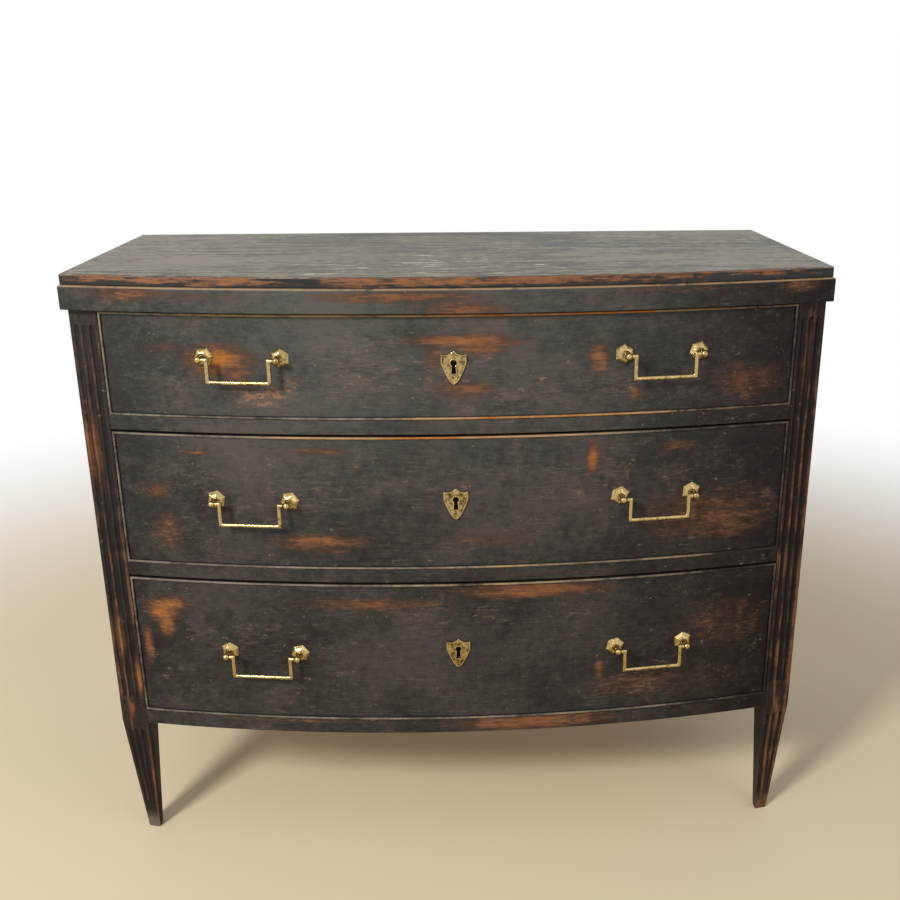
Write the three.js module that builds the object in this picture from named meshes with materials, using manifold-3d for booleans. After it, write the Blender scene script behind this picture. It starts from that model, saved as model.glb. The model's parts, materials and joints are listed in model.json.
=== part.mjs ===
import * as THREE from 'three';
import { mergeVertices } from 'three/addons/utils/BufferGeometryUtils.js';
import Module from 'manifold-3d';

const wasm = await Module();
wasm.setup();

// Commode chest with a bowed front, three long drawers and fluted tapered legs.
// Millimetres, +Z up, the front faces -Y, and the origin is on the floor under the middle.

// Carcass
const bodyWidth = 1050;
const bodyDepth = 432;
const bow = 62;
const legHeight = 192;
const postWidth = 41;
const postDepth = 50;
const rearPostDepth = 40;
const sidePanelThickness = 18;
const sidePanelSetback = 4;
const backPanelThickness = 10;
const backPanelSetback = 4;
const tongueLength = 8;
const tongueThickness = 8;
const railHeight = 21;
const bottomRailHeight = 24;
const railBack = 46;
const boardThickness = 12;
const guideHeight = 16;

// Legs
const footWidth = 18.5;
const footDepth = 17;
const toeChamfer = 1.2;

// Flutes of the front posts and legs
const fluteCount = 3;
const fluteWidth = 7.6;
const fluteDepth = 2.6;
const flutePitch = 11.4;
const fluteTopGap = 18;
const fluteBottomGap = 20;
const legFluteTopGap = 17;
const legFluteBottomGap = 42;
const legFluteEndWidth = 3.4;
const legFluteEndDepth = 1.3;

// Top
const topThickness = 14.5;
const topFrontOverhang = 10;
const topSideOverhang = 3;
const topBackOverhang = 4;
const topEdgeRound = 2.2;
const friezeHeight = 33.6;
const friezeFrontOverhang = 14;
const friezeSideOverhang = 6;
const friezeRound = 3.8;
const friezeLowerRound = 1.2;
const friezeFrontInset = 42;
const friezeSideInset = 44;
const friezeBackInset = 42;

// Drawers, from the top one down
const drawerNames = ['upper', 'middle', 'lower'];
const drawerHeights = [146, 199, 224];
const drawerFrontThickness = 24;
const drawerSideGap = 1.2;
const drawerTopGap = 2.2;
const drawerBottomGap = 0.6;
const drawerBackGap = 9;
const drawerSideThickness = 11;
const drawerBackThickness = 10;
const drawerSideDrop = 8;
const drawerBottomThickness = 7;
const drawerBottomRise = 12;
const drawerGrooveDepth = 5;

// Cockbeads
const beadWidth = 4;
const beadProud = 3;
const beadDepth = 9;

// Handles, two on each drawer, their middles set in from its ends
const handleInset = 195;
const handleRises = [13.5, 3.5, -1.5];
const postSpacing = 107;
const rosetteRadius = 13.6;
const rosetteBase = 1.6;
const rosetteHeight = 6.8;
const rosetteHollow = 1.8;
const rosetteEdgeLobeShare = 0.1;
const rosetteCrownLobeShare = 0.06;
const rosetteCrownShare = 0.74;
const rosetteCrownHeightShare = 0.62;
const rosetteRimShare = 0.42;
const rosetteHollowShare = 0.3;
const neckRadius = 2.9;
const ballRadius = 4.7;
const ballStand = 20;
const shankRadius = 2.4;
const nutRadius = 5.6;
const nutHeight = 4;
const armSpacing = 85.4;
const bailDrop = 31;
const rodRadius = 2.9;
const pinRadius = 2;
const pinReach = 1;
const collarRadius = 3.3;

// Escutcheons and locks
const shieldWidth = 35;
const shieldHeight = 46.5;
const shieldThickness = 2.4;
const shieldRim = 1.8;
const shieldRimProud = 0.7;
const shieldShoulderDrop = 4.4;
const shieldDip = 2.2;
const shieldWaistShare = 0.14;
const shieldSidePower = 0.62;
const keyRadius = 3.9;
const keyRise = 6.4;
const keySlotTop = 4;
const keySlotFoot = 5.6;
const keySlotReach = 15;
const keyRim = 1.7;
const lockWidth = 62;
const lockHeight = 46;
const lockDepth = 10;
const lockKeyDepth = 5;
const boltWidth = 14;
const boltThickness = 4;
const boltThrow = 8;
const boltBackInset = 3;
const boltTopGap = 0.6;
const boltFootRise = 8;

// Clearances and facets
const seam = 0.3;
const overrun = 5;
const arcSteps = 16;
const roundSteps = 3;
const tubeSides = 8;
const rosetteSides = 12;
const ballSteps = 4;
const shieldSteps = 4;

const halfWidth = bodyWidth / 2;
const openingHalf = halfWidth - postWidth;
const drawerHalf = openingHalf - drawerSideGap;
const bowRadius = (halfWidth * halfWidth + bow * bow) / (2 * bow);

// The outer front corner of the posts, placed so that the origin is under the middle of the depth
const postCornerY = (bow + friezeFrontOverhang - bodyDepth - topBackOverhang) / 2;
const bowCentreY = postCornerY - bow + bowRadius;
const backY = postCornerY + bodyDepth;
const sideInner = halfWidth - sidePanelSetback - sidePanelThickness;
const backPanelY = backY - backPanelSetback - backPanelThickness;

// Levels of the drawer openings, worked out from the floor up
const openings = [];
let level = legHeight + bottomRailHeight;
for (let index = drawerHeights.length - 1; index >= 0; index -= 1) {
  const top = level + drawerBottomGap + drawerHeights[index] + drawerTopGap;
  openings[index] = { bottom: level, top };
  level = top + railHeight;
}
const carcassTop = openings[0].top;
const friezeTop = carcassTop + friezeHeight;

const painted = { color: 0x35332f, roughness: 0.62, metalness: 0 };
const paintedDark = { color: 0x2c2725, roughness: 0.6, metalness: 0 };
const topPaint = { color: 0x6f6c60, roughness: 0.55, metalness: 0 };
const bareWood = { color: 0xa8845a, roughness: 0.75, metalness: 0 };
const beadWood = { color: 0xa07a4c, roughness: 0.6, metalness: 0 };
const brass = { color: 0xb59455, roughness: 0.38, metalness: 0.9 };
const iron = { color: 0x4a4640, roughness: 0.55, metalness: 0.85 };

const chest = new THREE.Group();

function add(name, geometry, look, place = null) {
  const mesh = new THREE.Mesh(geometry, new THREE.MeshStandardMaterial(look));
  mesh.name = name;
  if (place) {
    mesh.position.set(place.x, place.y, place.z);
    mesh.rotation.z = place.turn;
  }
  chest.add(mesh);
  return mesh;
}

function merged(geometry) {
  const bare = geometry.clone();
  bare.deleteAttribute('normal');
  bare.deleteAttribute('uv');
  return mergeVertices(bare);
}

function toSolid(geometry) {
  const mesh = merged(geometry);
  return new wasm.Manifold(new wasm.Mesh({
    numProp: 3,
    vertProperties: new Float32Array(mesh.attributes.position.array),
    triVerts: new Uint32Array(mesh.index.array),
  }));
}

function toGeometry(solid) {
  const mesh = solid.getMesh();
  const geometry = new THREE.BufferGeometry();
  geometry.setAttribute('position', new THREE.BufferAttribute(mesh.vertProperties, 3));
  geometry.setIndex(new THREE.BufferAttribute(mesh.triVerts, 1));
  return geometry;
}

function joined(first, ...others) {
  return toGeometry(others.reduce((sum, other) => sum.add(toSolid(other)), toSolid(first)));
}

function cut(base, ...tools) {
  return toGeometry(tools.reduce((rest, tool) => rest.subtract(toSolid(tool)), toSolid(base)));
}

function block(left, right, front, back, bottom, top) {
  const geometry = new THREE.BoxGeometry(right - left, back - front, top - bottom);
  geometry.translate((left + right) / 2, (front + back) / 2, (bottom + top) / 2);
  return merged(geometry);
}

// A flat outline in plan, carried straight up from one level to another
function plate(outline, bottom, top) {
  const shape = new THREE.Shape(outline.map(([x, y]) => new THREE.Vector2(x, y)));
  const geometry = new THREE.ExtrudeGeometry(shape, { depth: top - bottom, bevelEnabled: false });
  geometry.translate(0, 0, bottom);
  return merged(geometry);
}

// A closed solid through outlines of equally many points, listed counter-clockwise from below up
function loft(layers) {
  const count = layers[0].outline.length;
  const positions = layers.flatMap(({ z, outline }) => outline.flatMap(([x, y]) => [x, y, z]));
  const faces = [];
  for (let row = 0; row + 1 < layers.length; row += 1) {
    for (let column = 0; column < count; column += 1) {
      const next = (column + 1) % count;
      const a = row * count + column;
      const b = row * count + next;
      faces.push(a, b, b + count, a, b + count, a + count);
    }
  }
  const caps = [layers[0], layers[layers.length - 1]].map(({ outline }) => (
    THREE.ShapeUtils.triangulateShape(outline.map(([x, y]) => new THREE.Vector2(x, y)), [])));
  const last = (layers.length - 1) * count;
  caps[0].forEach(([a, b, c]) => faces.push(c, b, a));
  caps[1].forEach(([a, b, c]) => faces.push(last + a, last + b, last + c));
  const geometry = new THREE.BufferGeometry();
  geometry.setAttribute('position', new THREE.Float32BufferAttribute(positions, 3));
  geometry.setIndex(faces);
  return geometry;
}

// The bowed front line in plan, set back from the drawer faces by an inset
function frontY(x, inset = 0) {
  const radius = bowRadius - inset;
  return bowCentreY - Math.sqrt(radius * radius - x * x);
}

function frontLine(half, inset = 0) {
  return Array.from({ length: arcSteps + 1 }, (_, step) => {
    const x = half * (2 * step / arcSteps - 1);
    return [x, frontY(x, inset)];
  });
}

function bowedOutline(half, inset, back) {
  return [...frontLine(half, inset), [half, back], [-half, back]];
}

function mirrored(geometry) {
  const copy = geometry.clone();
  copy.scale(-1, 1, 1);
  const index = copy.index.array;
  for (let face = 0; face < index.length; face += 3) {
    const kept = index[face];
    index[face] = index[face + 2];
    index[face + 2] = kept;
  }
  return copy;
}

// Top board with a softened upper edge
function topBoard() {
  const outline = (inset) => bowedOutline(
    halfWidth + topSideOverhang - inset, inset - topFrontOverhang, backY + topBackOverhang - inset);
  const layers = [{ z: friezeTop + seam, outline: outline(0) }];
  for (let step = 0; step <= roundSteps; step += 1) {
    const angle = Math.PI / 2 * step / roundSteps;
    layers.push({
      z: friezeTop + topThickness - topEdgeRound * (1 - Math.sin(angle)),
      outline: outline(topEdgeRound * (1 - Math.cos(angle))),
    });
  }
  return loft(layers);
}

// Moulded frame under the top, bowed in front, with a rounded upper edge and a mortise for the bolt
function frieze() {
  const outline = (inset) => bowedOutline(
    halfWidth + friezeSideOverhang - inset, inset - friezeFrontOverhang, backY);
  const bottom = carcassTop;
  const layers = [
    { z: bottom, outline: outline(friezeLowerRound) },
    { z: bottom + friezeLowerRound, outline: outline(0) },
  ];
  for (let step = 0; step <= roundSteps; step += 1) {
    const angle = Math.PI / 2 * step / roundSteps;
    layers.push({
      z: friezeTop - friezeRound * (1 - Math.sin(angle)),
      outline: outline(friezeRound * (1 - Math.cos(angle))),
    });
  }
  const inside = plate(
    bowedOutline(halfWidth - friezeSideInset, friezeFrontInset, backY - friezeBackInset),
    bottom - overrun, friezeTop + overrun);
  return cut(loft(layers), inside, boltMortise(bottom));
}

// Pocket in the underside of a rail that takes the thrown bolt
function boltMortise(underside) {
  const back = frontY(0, drawerFrontThickness) - boltBackInset;
  return block(
    -boltWidth / 2 - seam, boltWidth / 2 + seam,
    back - boltThickness - seam, back + seam,
    underside - overrun, underside + boltThrow);
}

// Plan of a front post, or of its leg where the outer and back faces have moved in
function postOutline(width, depth) {
  const inner = openingHalf;
  const outer = openingHalf + width;
  const slope = (postCornerY - frontY(openingHalf)) / postWidth;
  const innerFront = frontY(openingHalf);
  return [
    [inner, innerFront],
    [outer, innerFront + slope * width],
    [outer, innerFront + depth],
    [inner, innerFront + depth],
  ];
}

// Round-ended groove from one width and depth to another, in the slanting front face of a post
function flute(share, lower, upper) {
  const turn = Math.atan2(postCornerY - frontY(openingHalf), postWidth);
  const ends = [lower, upper].map(({ z, width, faceWidth, pitch, depth }) => {
    const radius = (width * width / 4 + depth * depth) / (2 * depth);
    const along = faceWidth / 2 + share * pitch;
    const proud = radius - depth;
    const ball = new THREE.IcosahedronGeometry(radius, 1);
    ball.translate(
      openingHalf + along * Math.cos(turn) + proud * Math.sin(turn),
      frontY(openingHalf) + along * Math.sin(turn) - proud * Math.cos(turn), z);
    return toSolid(ball);
  });
  return toGeometry(wasm.Manifold.hull(ends));
}

function frontPost() {
  const faceLength = Math.hypot(postWidth, postCornerY - frontY(openingHalf));
  const innerDepth = postDepth + postCornerY - frontY(openingHalf);
  const slant = faceLength / postWidth;
  const legShareAt = (z) => z / legHeight;
  const legWidthAt = (z) => footWidth + (postWidth - footWidth) * legShareAt(z);
  const body = loft([
    { z: 0, outline: postOutline(footWidth - toeChamfer, footDepth - toeChamfer) },
    { z: toeChamfer, outline: postOutline(legWidthAt(toeChamfer), footDepth) },
    { z: legHeight, outline: postOutline(postWidth, innerDepth) },
    { z: carcassTop - seam, outline: postOutline(postWidth, innerDepth) },
  ]);
  const groove = block(
    halfWidth - sidePanelSetback - sidePanelThickness / 2 - tongueThickness / 2 - seam,
    halfWidth - sidePanelSetback - sidePanelThickness / 2 + tongueThickness / 2 + seam,
    postCornerY + postDepth - tongueLength - seam, postCornerY + postDepth + overrun,
    legHeight - seam, carcassTop + overrun);
  const grooves = [groove];
  const bodyLower = legHeight + bottomRailHeight + fluteBottomGap;
  const bodyUpper = carcassTop - fluteTopGap;
  const legUpper = legHeight - legFluteTopGap;
  for (let index = 0; index < fluteCount; index += 1) {
    const share = index - (fluteCount - 1) / 2;
    const plain = { width: fluteWidth, faceWidth: faceLength, pitch: flutePitch, depth: fluteDepth };
    grooves.push(flute(share, { z: bodyLower, ...plain }, { z: bodyUpper, ...plain }));
    const narrow = legWidthAt(legFluteBottomGap);
    const wide = legWidthAt(legUpper);
    grooves.push(flute(
      share,
      {
        z: legFluteBottomGap,
        width: legFluteEndWidth,
        faceWidth: narrow * slant,
        pitch: flutePitch * narrow / postWidth,
        depth: legFluteEndDepth,
      },
      {
        z: legUpper,
        width: fluteWidth * wide / postWidth,
        faceWidth: wide * slant,
        pitch: flutePitch * wide / postWidth,
        depth: fluteDepth,
      }));
  }
  return cut(body, ...grooves);
}

function rearPost() {
  const outline = (width, depth) => [
    [openingHalf, backY - depth],
    [openingHalf + width, backY - depth],
    [openingHalf + width, backY],
    [openingHalf, backY],
  ];
  const body = loft([
    { z: 0, outline: outline(footWidth - toeChamfer, footDepth - toeChamfer) },
    { z: toeChamfer, outline: outline(footWidth, footDepth) },
    { z: legHeight, outline: outline(postWidth, rearPostDepth) },
    { z: carcassTop - seam, outline: outline(postWidth, rearPostDepth) },
  ]);
  const sideGroove = block(
    halfWidth - sidePanelSetback - sidePanelThickness / 2 - tongueThickness / 2 - seam,
    halfWidth - sidePanelSetback - sidePanelThickness / 2 + tongueThickness / 2 + seam,
    backY - rearPostDepth - overrun, backY - rearPostDepth + tongueLength + seam,
    legHeight - seam, carcassTop + overrun);
  const backGroove = block(
    openingHalf - overrun, openingHalf + tongueLength + seam,
    backPanelY - seam, backPanelY + backPanelThickness + seam,
    legHeight - seam, carcassTop + overrun);
  return cut(body, sideGroove, backGroove);
}

// Side panel with tongues in the posts and a guide strip beside each drawer
function sidePanel() {
  const outer = halfWidth - sidePanelSetback;
  const inner = outer - sidePanelThickness;
  const middle = (outer + inner) / 2;
  const front = postCornerY + postDepth + seam;
  const back = backY - rearPostDepth - seam;
  const tongueFront = front - tongueLength;
  const tongueBack = back + tongueLength;
  const outline = [
    [inner, front],
    [middle - tongueThickness / 2, front],
    [middle - tongueThickness / 2, tongueFront],
    [middle + tongueThickness / 2, tongueFront],
    [middle + tongueThickness / 2, front],
    [outer, front],
    [outer, back],
    [middle + tongueThickness / 2, back],
    [middle + tongueThickness / 2, tongueBack],
    [middle - tongueThickness / 2, tongueBack],
    [middle - tongueThickness / 2, back],
    [inner, back],
  ];
  const guides = openings.map(({ bottom }) => block(
    openingHalf, inner + seam, front, back, bottom + seam, bottom + guideHeight));
  return joined(plate(outline, legHeight, carcassTop - seam), ...guides);
}

function backPanel() {
  const reach = openingHalf + tongueLength;
  return block(
    -reach, reach, backPanelY, backPanelY + backPanelThickness, legHeight, carcassTop - seam);
}

// Bowed rail between the front posts
function rail(bottom, top) {
  return plate(bowedOutline(openingHalf - seam, 0, postCornerY + railBack), bottom, top);
}

// Board behind a rail that carries the drawer, notched round the rear posts
function dustBoard(top) {
  const half = sideInner - seam;
  const narrow = openingHalf - seam;
  const front = postCornerY + postDepth + seam;
  const notch = backY - rearPostDepth - seam;
  const railEdge = postCornerY + railBack + seam;
  const back = backPanelY - seam;
  const outline = [
    [-narrow, railEdge],
    [narrow, railEdge],
    [narrow, front],
    [half, front],
    [half, notch],
    [narrow, notch],
    [narrow, back],
    [-narrow, back],
    [-narrow, notch],
    [-half, notch],
    [-half, front],
    [-narrow, front],
  ];
  return plate(outline, top - boardThickness, top);
}

// Keyhole outline in the face plane: a round head over a slot that widens downwards
function keyholeOutline(grow) {
  const radius = keyRadius + grow;
  const neck = keySlotTop / 2 + grow;
  const foot = keySlotFoot / 2 + grow;
  const start = -Math.PI / 2 + Math.asin(neck / radius);
  const sweep = 2 * (Math.PI - Math.asin(neck / radius));
  const steps = 2 * shieldSteps;
  const head = Array.from({ length: steps + 1 }, (_, step) => {
    const angle = start + sweep * step / steps;
    return [radius * Math.cos(angle), keyRise + radius * Math.sin(angle)];
  });
  const bottom = keyRise - keySlotReach - grow;
  return [...head, [-foot, bottom], [foot, bottom]];
}

// An outline in the face plane, carried through from one depth to another behind the face at x = 0
function faceprism(outline, front, back, lift) {
  const shape = new THREE.Shape(outline.map(([x, z]) => new THREE.Vector2(x, z)));
  const geometry = new THREE.ExtrudeGeometry(shape, { depth: back - front, bevelEnabled: false });
  geometry.rotateX(Math.PI / 2);
  geometry.translate(0, back, lift);
  return merged(geometry);
}

// A point at a distance out from the drawer faces, on the ray at an angle from the middle of the bow
function bowPlace(angle, out, z) {
  const reach = bowRadius + out;
  return { x: reach * Math.sin(angle), y: bowCentreY - reach * Math.cos(angle), z, turn: angle };
}

// Both handles of a drawer: the bail lies on the chord between its two balls, the rosettes on the face
function handlePlaces(index) {
  const z = drawerMiddle(index) + handleRises[index];
  const spread = Math.asin(postSpacing / 2 / (bowRadius + ballStand));
  const chordOut = (bowRadius + ballStand) * Math.cos(spread) - bowRadius;
  return [-1, 1].map((side) => {
    const angle = side * Math.asin((drawerHalf - handleInset) / bowRadius);
    const rosettes = [-1, 1].map((end) => ({
      end, skew: -end * spread, ...bowPlace(angle + end * spread, 0, z),
    }));
    return { side, rosettes, ...bowPlace(angle, chordOut, z) };
  });
}

function drawerMiddle(index) {
  return openings[index].bottom + drawerBottomGap + drawerHeights[index] / 2;
}

// Bowed drawer front with a rebate for the cockbead, grooved for the bottom and cut for the fittings
function drawerFront(index) {
  const bottom = openings[index].bottom + drawerBottomGap;
  const top = bottom + drawerHeights[index];
  const inset = beadWidth + seam;
  const step = beadDepth + seam;
  const innerLine = frontLine(drawerHalf, drawerFrontThickness).reverse();
  const backLayer = plate([...frontLine(drawerHalf, step), ...innerLine], bottom, top);
  const faceLayer = plate(
    [...frontLine(drawerHalf - inset, 0), ...frontLine(drawerHalf - inset, step + overrun).reverse()],
    bottom + inset, top - inset);
  const innerY = frontY(0, drawerFrontThickness);
  const middle = drawerMiddle(index);
  const boltBack = innerY - boltBackInset;
  const tools = [
    faceprism(keyholeOutline(0), frontY(0) - overrun, innerY + overrun, middle),
    block(
      -lockWidth / 2 - seam, lockWidth / 2 + seam, innerY - lockDepth - seam, innerY + overrun,
      middle + keyRise - lockHeight / 2 - seam, middle + keyRise + lockHeight / 2 + seam),
    block(
      -boltWidth / 2 - seam, boltWidth / 2 + seam, boltBack - boltThickness - seam,
      innerY + overrun, middle + keyRise, top + overrun),
    drawerBottomSolid(index, seam),
  ];
  for (const spot of handlePlaces(index).flatMap(({ rosettes }) => rosettes)) {
    const hole = new THREE.CylinderGeometry(
      shankRadius + seam, shankRadius + seam, 2 * (drawerFrontThickness + overrun), tubeSides);
    hole.rotateZ(spot.turn);
    hole.translate(spot.x, spot.y, spot.z);
    tools.push(hole);
  }
  return cut(joined(backLayer, faceLayer), ...tools);
}

// Drawer bottom, let into the front and the sides and run under the drawer back
function drawerBottomSolid(index, grow = 0) {
  const bottom = openings[index].bottom + drawerBottomGap + drawerBottomRise;
  const half = drawerHalf - drawerSideThickness + drawerGrooveDepth + grow;
  return plate(
    bowedOutline(half, drawerFrontThickness - drawerGrooveDepth - grow, drawerBackY()),
    bottom - grow, bottom + drawerBottomThickness + grow);
}

function drawerBackY() {
  return backPanelY - drawerBackGap;
}

function drawerSide(index) {
  const bottom = openings[index].bottom + drawerBottomGap;
  const top = bottom + drawerHeights[index] - drawerSideDrop;
  const outer = drawerHalf;
  const inner = drawerHalf - drawerSideThickness;
  const outline = [
    [inner, frontY(inner, drawerFrontThickness) + seam],
    [outer, frontY(outer, drawerFrontThickness) + seam],
    [outer, drawerBackY()],
    [inner, drawerBackY()],
  ];
  const groove = block(
    inner - overrun, inner + drawerGrooveDepth + seam,
    postCornerY, drawerBackY() + overrun,
    bottom + drawerBottomRise - seam, bottom + drawerBottomRise + drawerBottomThickness + seam);
  return cut(plate(outline, bottom, top), groove);
}

function drawerBack(index) {
  const bottom = openings[index].bottom + drawerBottomGap;
  const half = drawerHalf - drawerSideThickness - seam;
  return block(
    -half, half, drawerBackY() - drawerBackThickness, drawerBackY(),
    bottom + drawerBottomRise + drawerBottomThickness + seam,
    bottom + drawerHeights[index] - drawerSideDrop);
}

// Raised bead round the drawer front: a round-nosed strip carried round the four edges with mitres
function cockbead(index) {
  const bottom = openings[index].bottom + drawerBottomGap;
  const top = bottom + drawerHeights[index];
  const half = beadWidth / 2;
  const profile = [[0, beadDepth], [0, -beadProud + half]];
  for (let step = 1; step < roundSteps; step += 1) {
    const angle = Math.PI * step / roundSteps;
    profile.push([half - half * Math.cos(angle), -beadProud + half - half * Math.sin(angle)]);
  }
  profile.push([beadWidth, -beadProud + half], [beadWidth, beadDepth]);
  const stations = [];
  for (let step = 0; step <= arcSteps; step += 1) {
    stations.push({ share: 2 * step / arcSteps - 1, upper: false });
  }
  for (let step = arcSteps; step >= 0; step -= 1) {
    stations.push({ share: 2 * step / arcSteps - 1, upper: true });
  }
  const positions = stations.flatMap(({ share, upper }) => profile.flatMap(([across, inset]) => {
    const x = share * (drawerHalf - across);
    return [x, frontY(x, inset), upper ? top - across : bottom + across];
  }));
  const faces = [];
  const rows = profile.length;
  for (let station = 0; station < stations.length; station += 1) {
    const after = (station + 1) % stations.length;
    for (let row = 0; row < rows; row += 1) {
      const next = (row + 1) % rows;
      const a = station * rows + row;
      const b = after * rows + row;
      const c = after * rows + next;
      const d = station * rows + next;
      faces.push(a, b, c, a, c, d);
    }
  }
  const geometry = new THREE.BufferGeometry();
  geometry.setAttribute('position', new THREE.Float32BufferAttribute(positions, 3));
  geometry.setIndex(faces);
  return geometry;
}

// Cast rosette with a hollow middle, its ball-headed post, the shank through the front and the nut
function rosette({ end, skew }) {
  const lobed = (radius, lobeShare) => Array.from({ length: rosetteSides }, (_, step) => {
    const angle = 2 * Math.PI * step / rosetteSides;
    const reach = step % 2 ? radius * (1 - lobeShare) : radius;
    return [reach * Math.cos(angle), reach * Math.sin(angle)];
  });
  const nutFace = -drawerFrontThickness - seam;
  const crown = lobed(rosetteRadius * rosetteCrownShare, rosetteCrownLobeShare);
  const layers = [
    { z: nutFace - nutHeight, outline: lobed(nutRadius, 0) },
    { z: nutFace, outline: lobed(nutRadius, 0) },
    { z: nutFace, outline: lobed(shankRadius, 0) },
    { z: seam, outline: lobed(shankRadius, 0) },
    { z: seam, outline: lobed(rosetteRadius, rosetteEdgeLobeShare) },
    { z: rosetteBase, outline: lobed(rosetteRadius, rosetteEdgeLobeShare) },
    { z: rosetteHeight * rosetteCrownHeightShare, outline: crown },
    { z: rosetteHeight, outline: lobed(rosetteRadius * rosetteRimShare, 0) },
    { z: rosetteHeight - rosetteHollow, outline: lobed(rosetteRadius * rosetteHollowShare, 0) },
    { z: rosetteHeight - rosetteHollow, outline: lobed(neckRadius, 0) },
  ];
  const start = Math.asin(neckRadius / ballRadius);
  for (let step = 0; step <= ballSteps; step += 1) {
    const angle = start + (Math.PI - start) * step / (ballSteps + 1);
    layers.push({
      z: ballStand - ballRadius * Math.cos(angle),
      outline: lobed(ballRadius * Math.sin(angle), 0),
    });
  }
  const body = loft(layers);
  body.rotateX(Math.PI / 2);
  const reach = pinReach + seam;
  const length = ballRadius + overrun + reach;
  const bore = new THREE.CylinderGeometry(pinRadius + seam, pinRadius + seam, length, tubeSides);
  bore.rotateZ(Math.PI / 2);
  bore.translate(-end * (length / 2 - reach), 0, 0);
  bore.rotateZ(skew);
  bore.translate(0, -ballStand, 0);
  return cut(body, bore);
}

// Square-bent bail: pins in the balls, a collar beside each ball, two arms and the grip
function bail() {
  const tip = postSpacing / 2 + pinReach;
  const collarStart = postSpacing / 2 - ballRadius - seam;
  const arm = armSpacing / 2;
  const half = [
    { x: -tip, z: 0, radius: pinRadius },
    { x: -collarStart, z: 0, radius: pinRadius },
    { x: -collarStart, z: 0, radius: collarRadius },
    { x: -arm - rodRadius, z: 0, radius: collarRadius },
    { x: -arm - rodRadius, z: 0, radius: rodRadius },
    { x: -arm, z: 0, radius: rodRadius, bend: 1 },
    { x: -arm, z: -bailDrop, radius: rodRadius, bend: 1 },
  ];
  const whole = [...half, ...half.slice().reverse().map((station) => ({ ...station, x: -station.x }))];
  const directionAt = (from, to) => Math.atan2(to.z - from.z, to.x - from.x);
  const bends = whole.map((station, index) => {
    const before = whole[Math.max(index - 1, 0)];
    const after = whole[Math.min(index + 1, whole.length - 1)];
    if (!station.bend) return { angle: 0, stretch: 1 };
    const arriving = directionAt(before, station);
    const leaving = directionAt(station, after);
    return { angle: (arriving + leaving) / 2, stretch: 1 / Math.cos((leaving - arriving) / 2) };
  });
  const positions = whole.flatMap((station, index) => {
    const { angle, stretch } = bends[index];
    return Array.from({ length: tubeSides }, (_, side) => {
      const turn = 2 * Math.PI * (side + 1 / 2) / tubeSides;
      const across = station.radius * Math.cos(turn) * stretch;
      const out = -station.radius * Math.sin(turn);
      return [
        station.x - across * Math.sin(angle),
        out,
        station.z + across * Math.cos(angle),
      ];
    }).flat();
  });
  const faces = [];
  for (let row = 0; row + 1 < whole.length; row += 1) {
    for (let side = 0; side < tubeSides; side += 1) {
      const next = (side + 1) % tubeSides;
      const a = row * tubeSides + side;
      const b = row * tubeSides + next;
      faces.push(a, b, b + tubeSides, a, b + tubeSides, a + tubeSides);
    }
  }
  const last = (whole.length - 1) * tubeSides;
  for (let side = 1; side + 1 < tubeSides; side += 1) {
    faces.push(0, side + 1, side, last, last + side, last + side + 1);
  }
  const geometry = new THREE.BufferGeometry();
  geometry.setAttribute('position', new THREE.Float32BufferAttribute(positions, 3));
  geometry.setIndex(faces);
  return geometry;
}

// Shield outline in the face plane: two concave top edges that meet in a peak, sides drawn to a tip
function shieldOutline(inset) {
  const halfAcross = shieldWidth / 2 - inset;
  const peak = shieldHeight / 2 - inset;
  const tip = -shieldHeight / 2 + inset;
  const shoulder = shieldHeight / 2 - shieldShoulderDrop - inset;
  const waist = shieldHeight * shieldWaistShare;
  const curved = Array.from({ length: shieldSteps + 1 }, (_, step) => {
    const share = step / shieldSteps;
    return [halfAcross * share ** shieldSidePower, tip + (waist - tip) * share];
  });
  const edge = [];
  for (let step = 0; step <= shieldSteps; step += 1) {
    const share = step / shieldSteps;
    const dip = shieldDip * 4 * share * (1 - share);
    edge.push([halfAcross * (1 - share), shoulder + (peak - shoulder) * share * share - dip]);
  }
  const rightSide = [...curved, ...edge];
  const leftSide = rightSide.slice(1, -1).reverse().map(([x, z]) => [-x, z]);
  return [...rightSide, ...leftSide];
}

function escutcheon(index) {
  const middle = drawerMiddle(index);
  const back = frontY(0) - seam;
  const front = back - shieldThickness;
  const plateSolid = faceprism(shieldOutline(0), front, back, middle);
  const sunk = faceprism(shieldOutline(shieldRim), front - overrun, front + shieldRimProud, middle);
  const collar = faceprism(keyholeOutline(keyRim), front - 2 * overrun, back, middle);
  const hole = faceprism(keyholeOutline(0), front - overrun, back + overrun, middle);
  return cut(plateSolid, cut(sunk, collar), hole);
}

// Lock case let into the back of the drawer front, with a keyway and a channel for the bolt
function lockCase(index) {
  const innerY = frontY(0, drawerFrontThickness);
  const centre = drawerMiddle(index) + keyRise;
  const back = innerY - boltBackInset;
  const body = block(
    -lockWidth / 2, lockWidth / 2, innerY - lockDepth, innerY,
    centre - lockHeight / 2, centre + lockHeight / 2);
  const channel = block(
    -boltWidth / 2 - seam, boltWidth / 2 + seam, back - boltThickness - seam, back + seam,
    centre + keyRadius + boltFootRise - seam, centre + lockHeight / 2 + overrun);
  const keyway = faceprism(
    keyholeOutline(0), innerY - lockDepth - overrun, innerY - lockDepth + lockKeyDepth,
    drawerMiddle(index));
  return cut(body, channel, keyway);
}

function lockBolt(index) {
  const innerY = frontY(0, drawerFrontThickness);
  const centre = drawerMiddle(index) + keyRise;
  const back = innerY - boltBackInset;
  const top = openings[index].bottom + drawerBottomGap + drawerHeights[index] - boltTopGap;
  return block(
    -boltWidth / 2, boltWidth / 2, back - boltThickness, back,
    centre + keyRadius + boltFootRise, top);
}

add('top_board', topBoard(), topPaint);
add('frieze_moulding', frieze(), painted);

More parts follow.
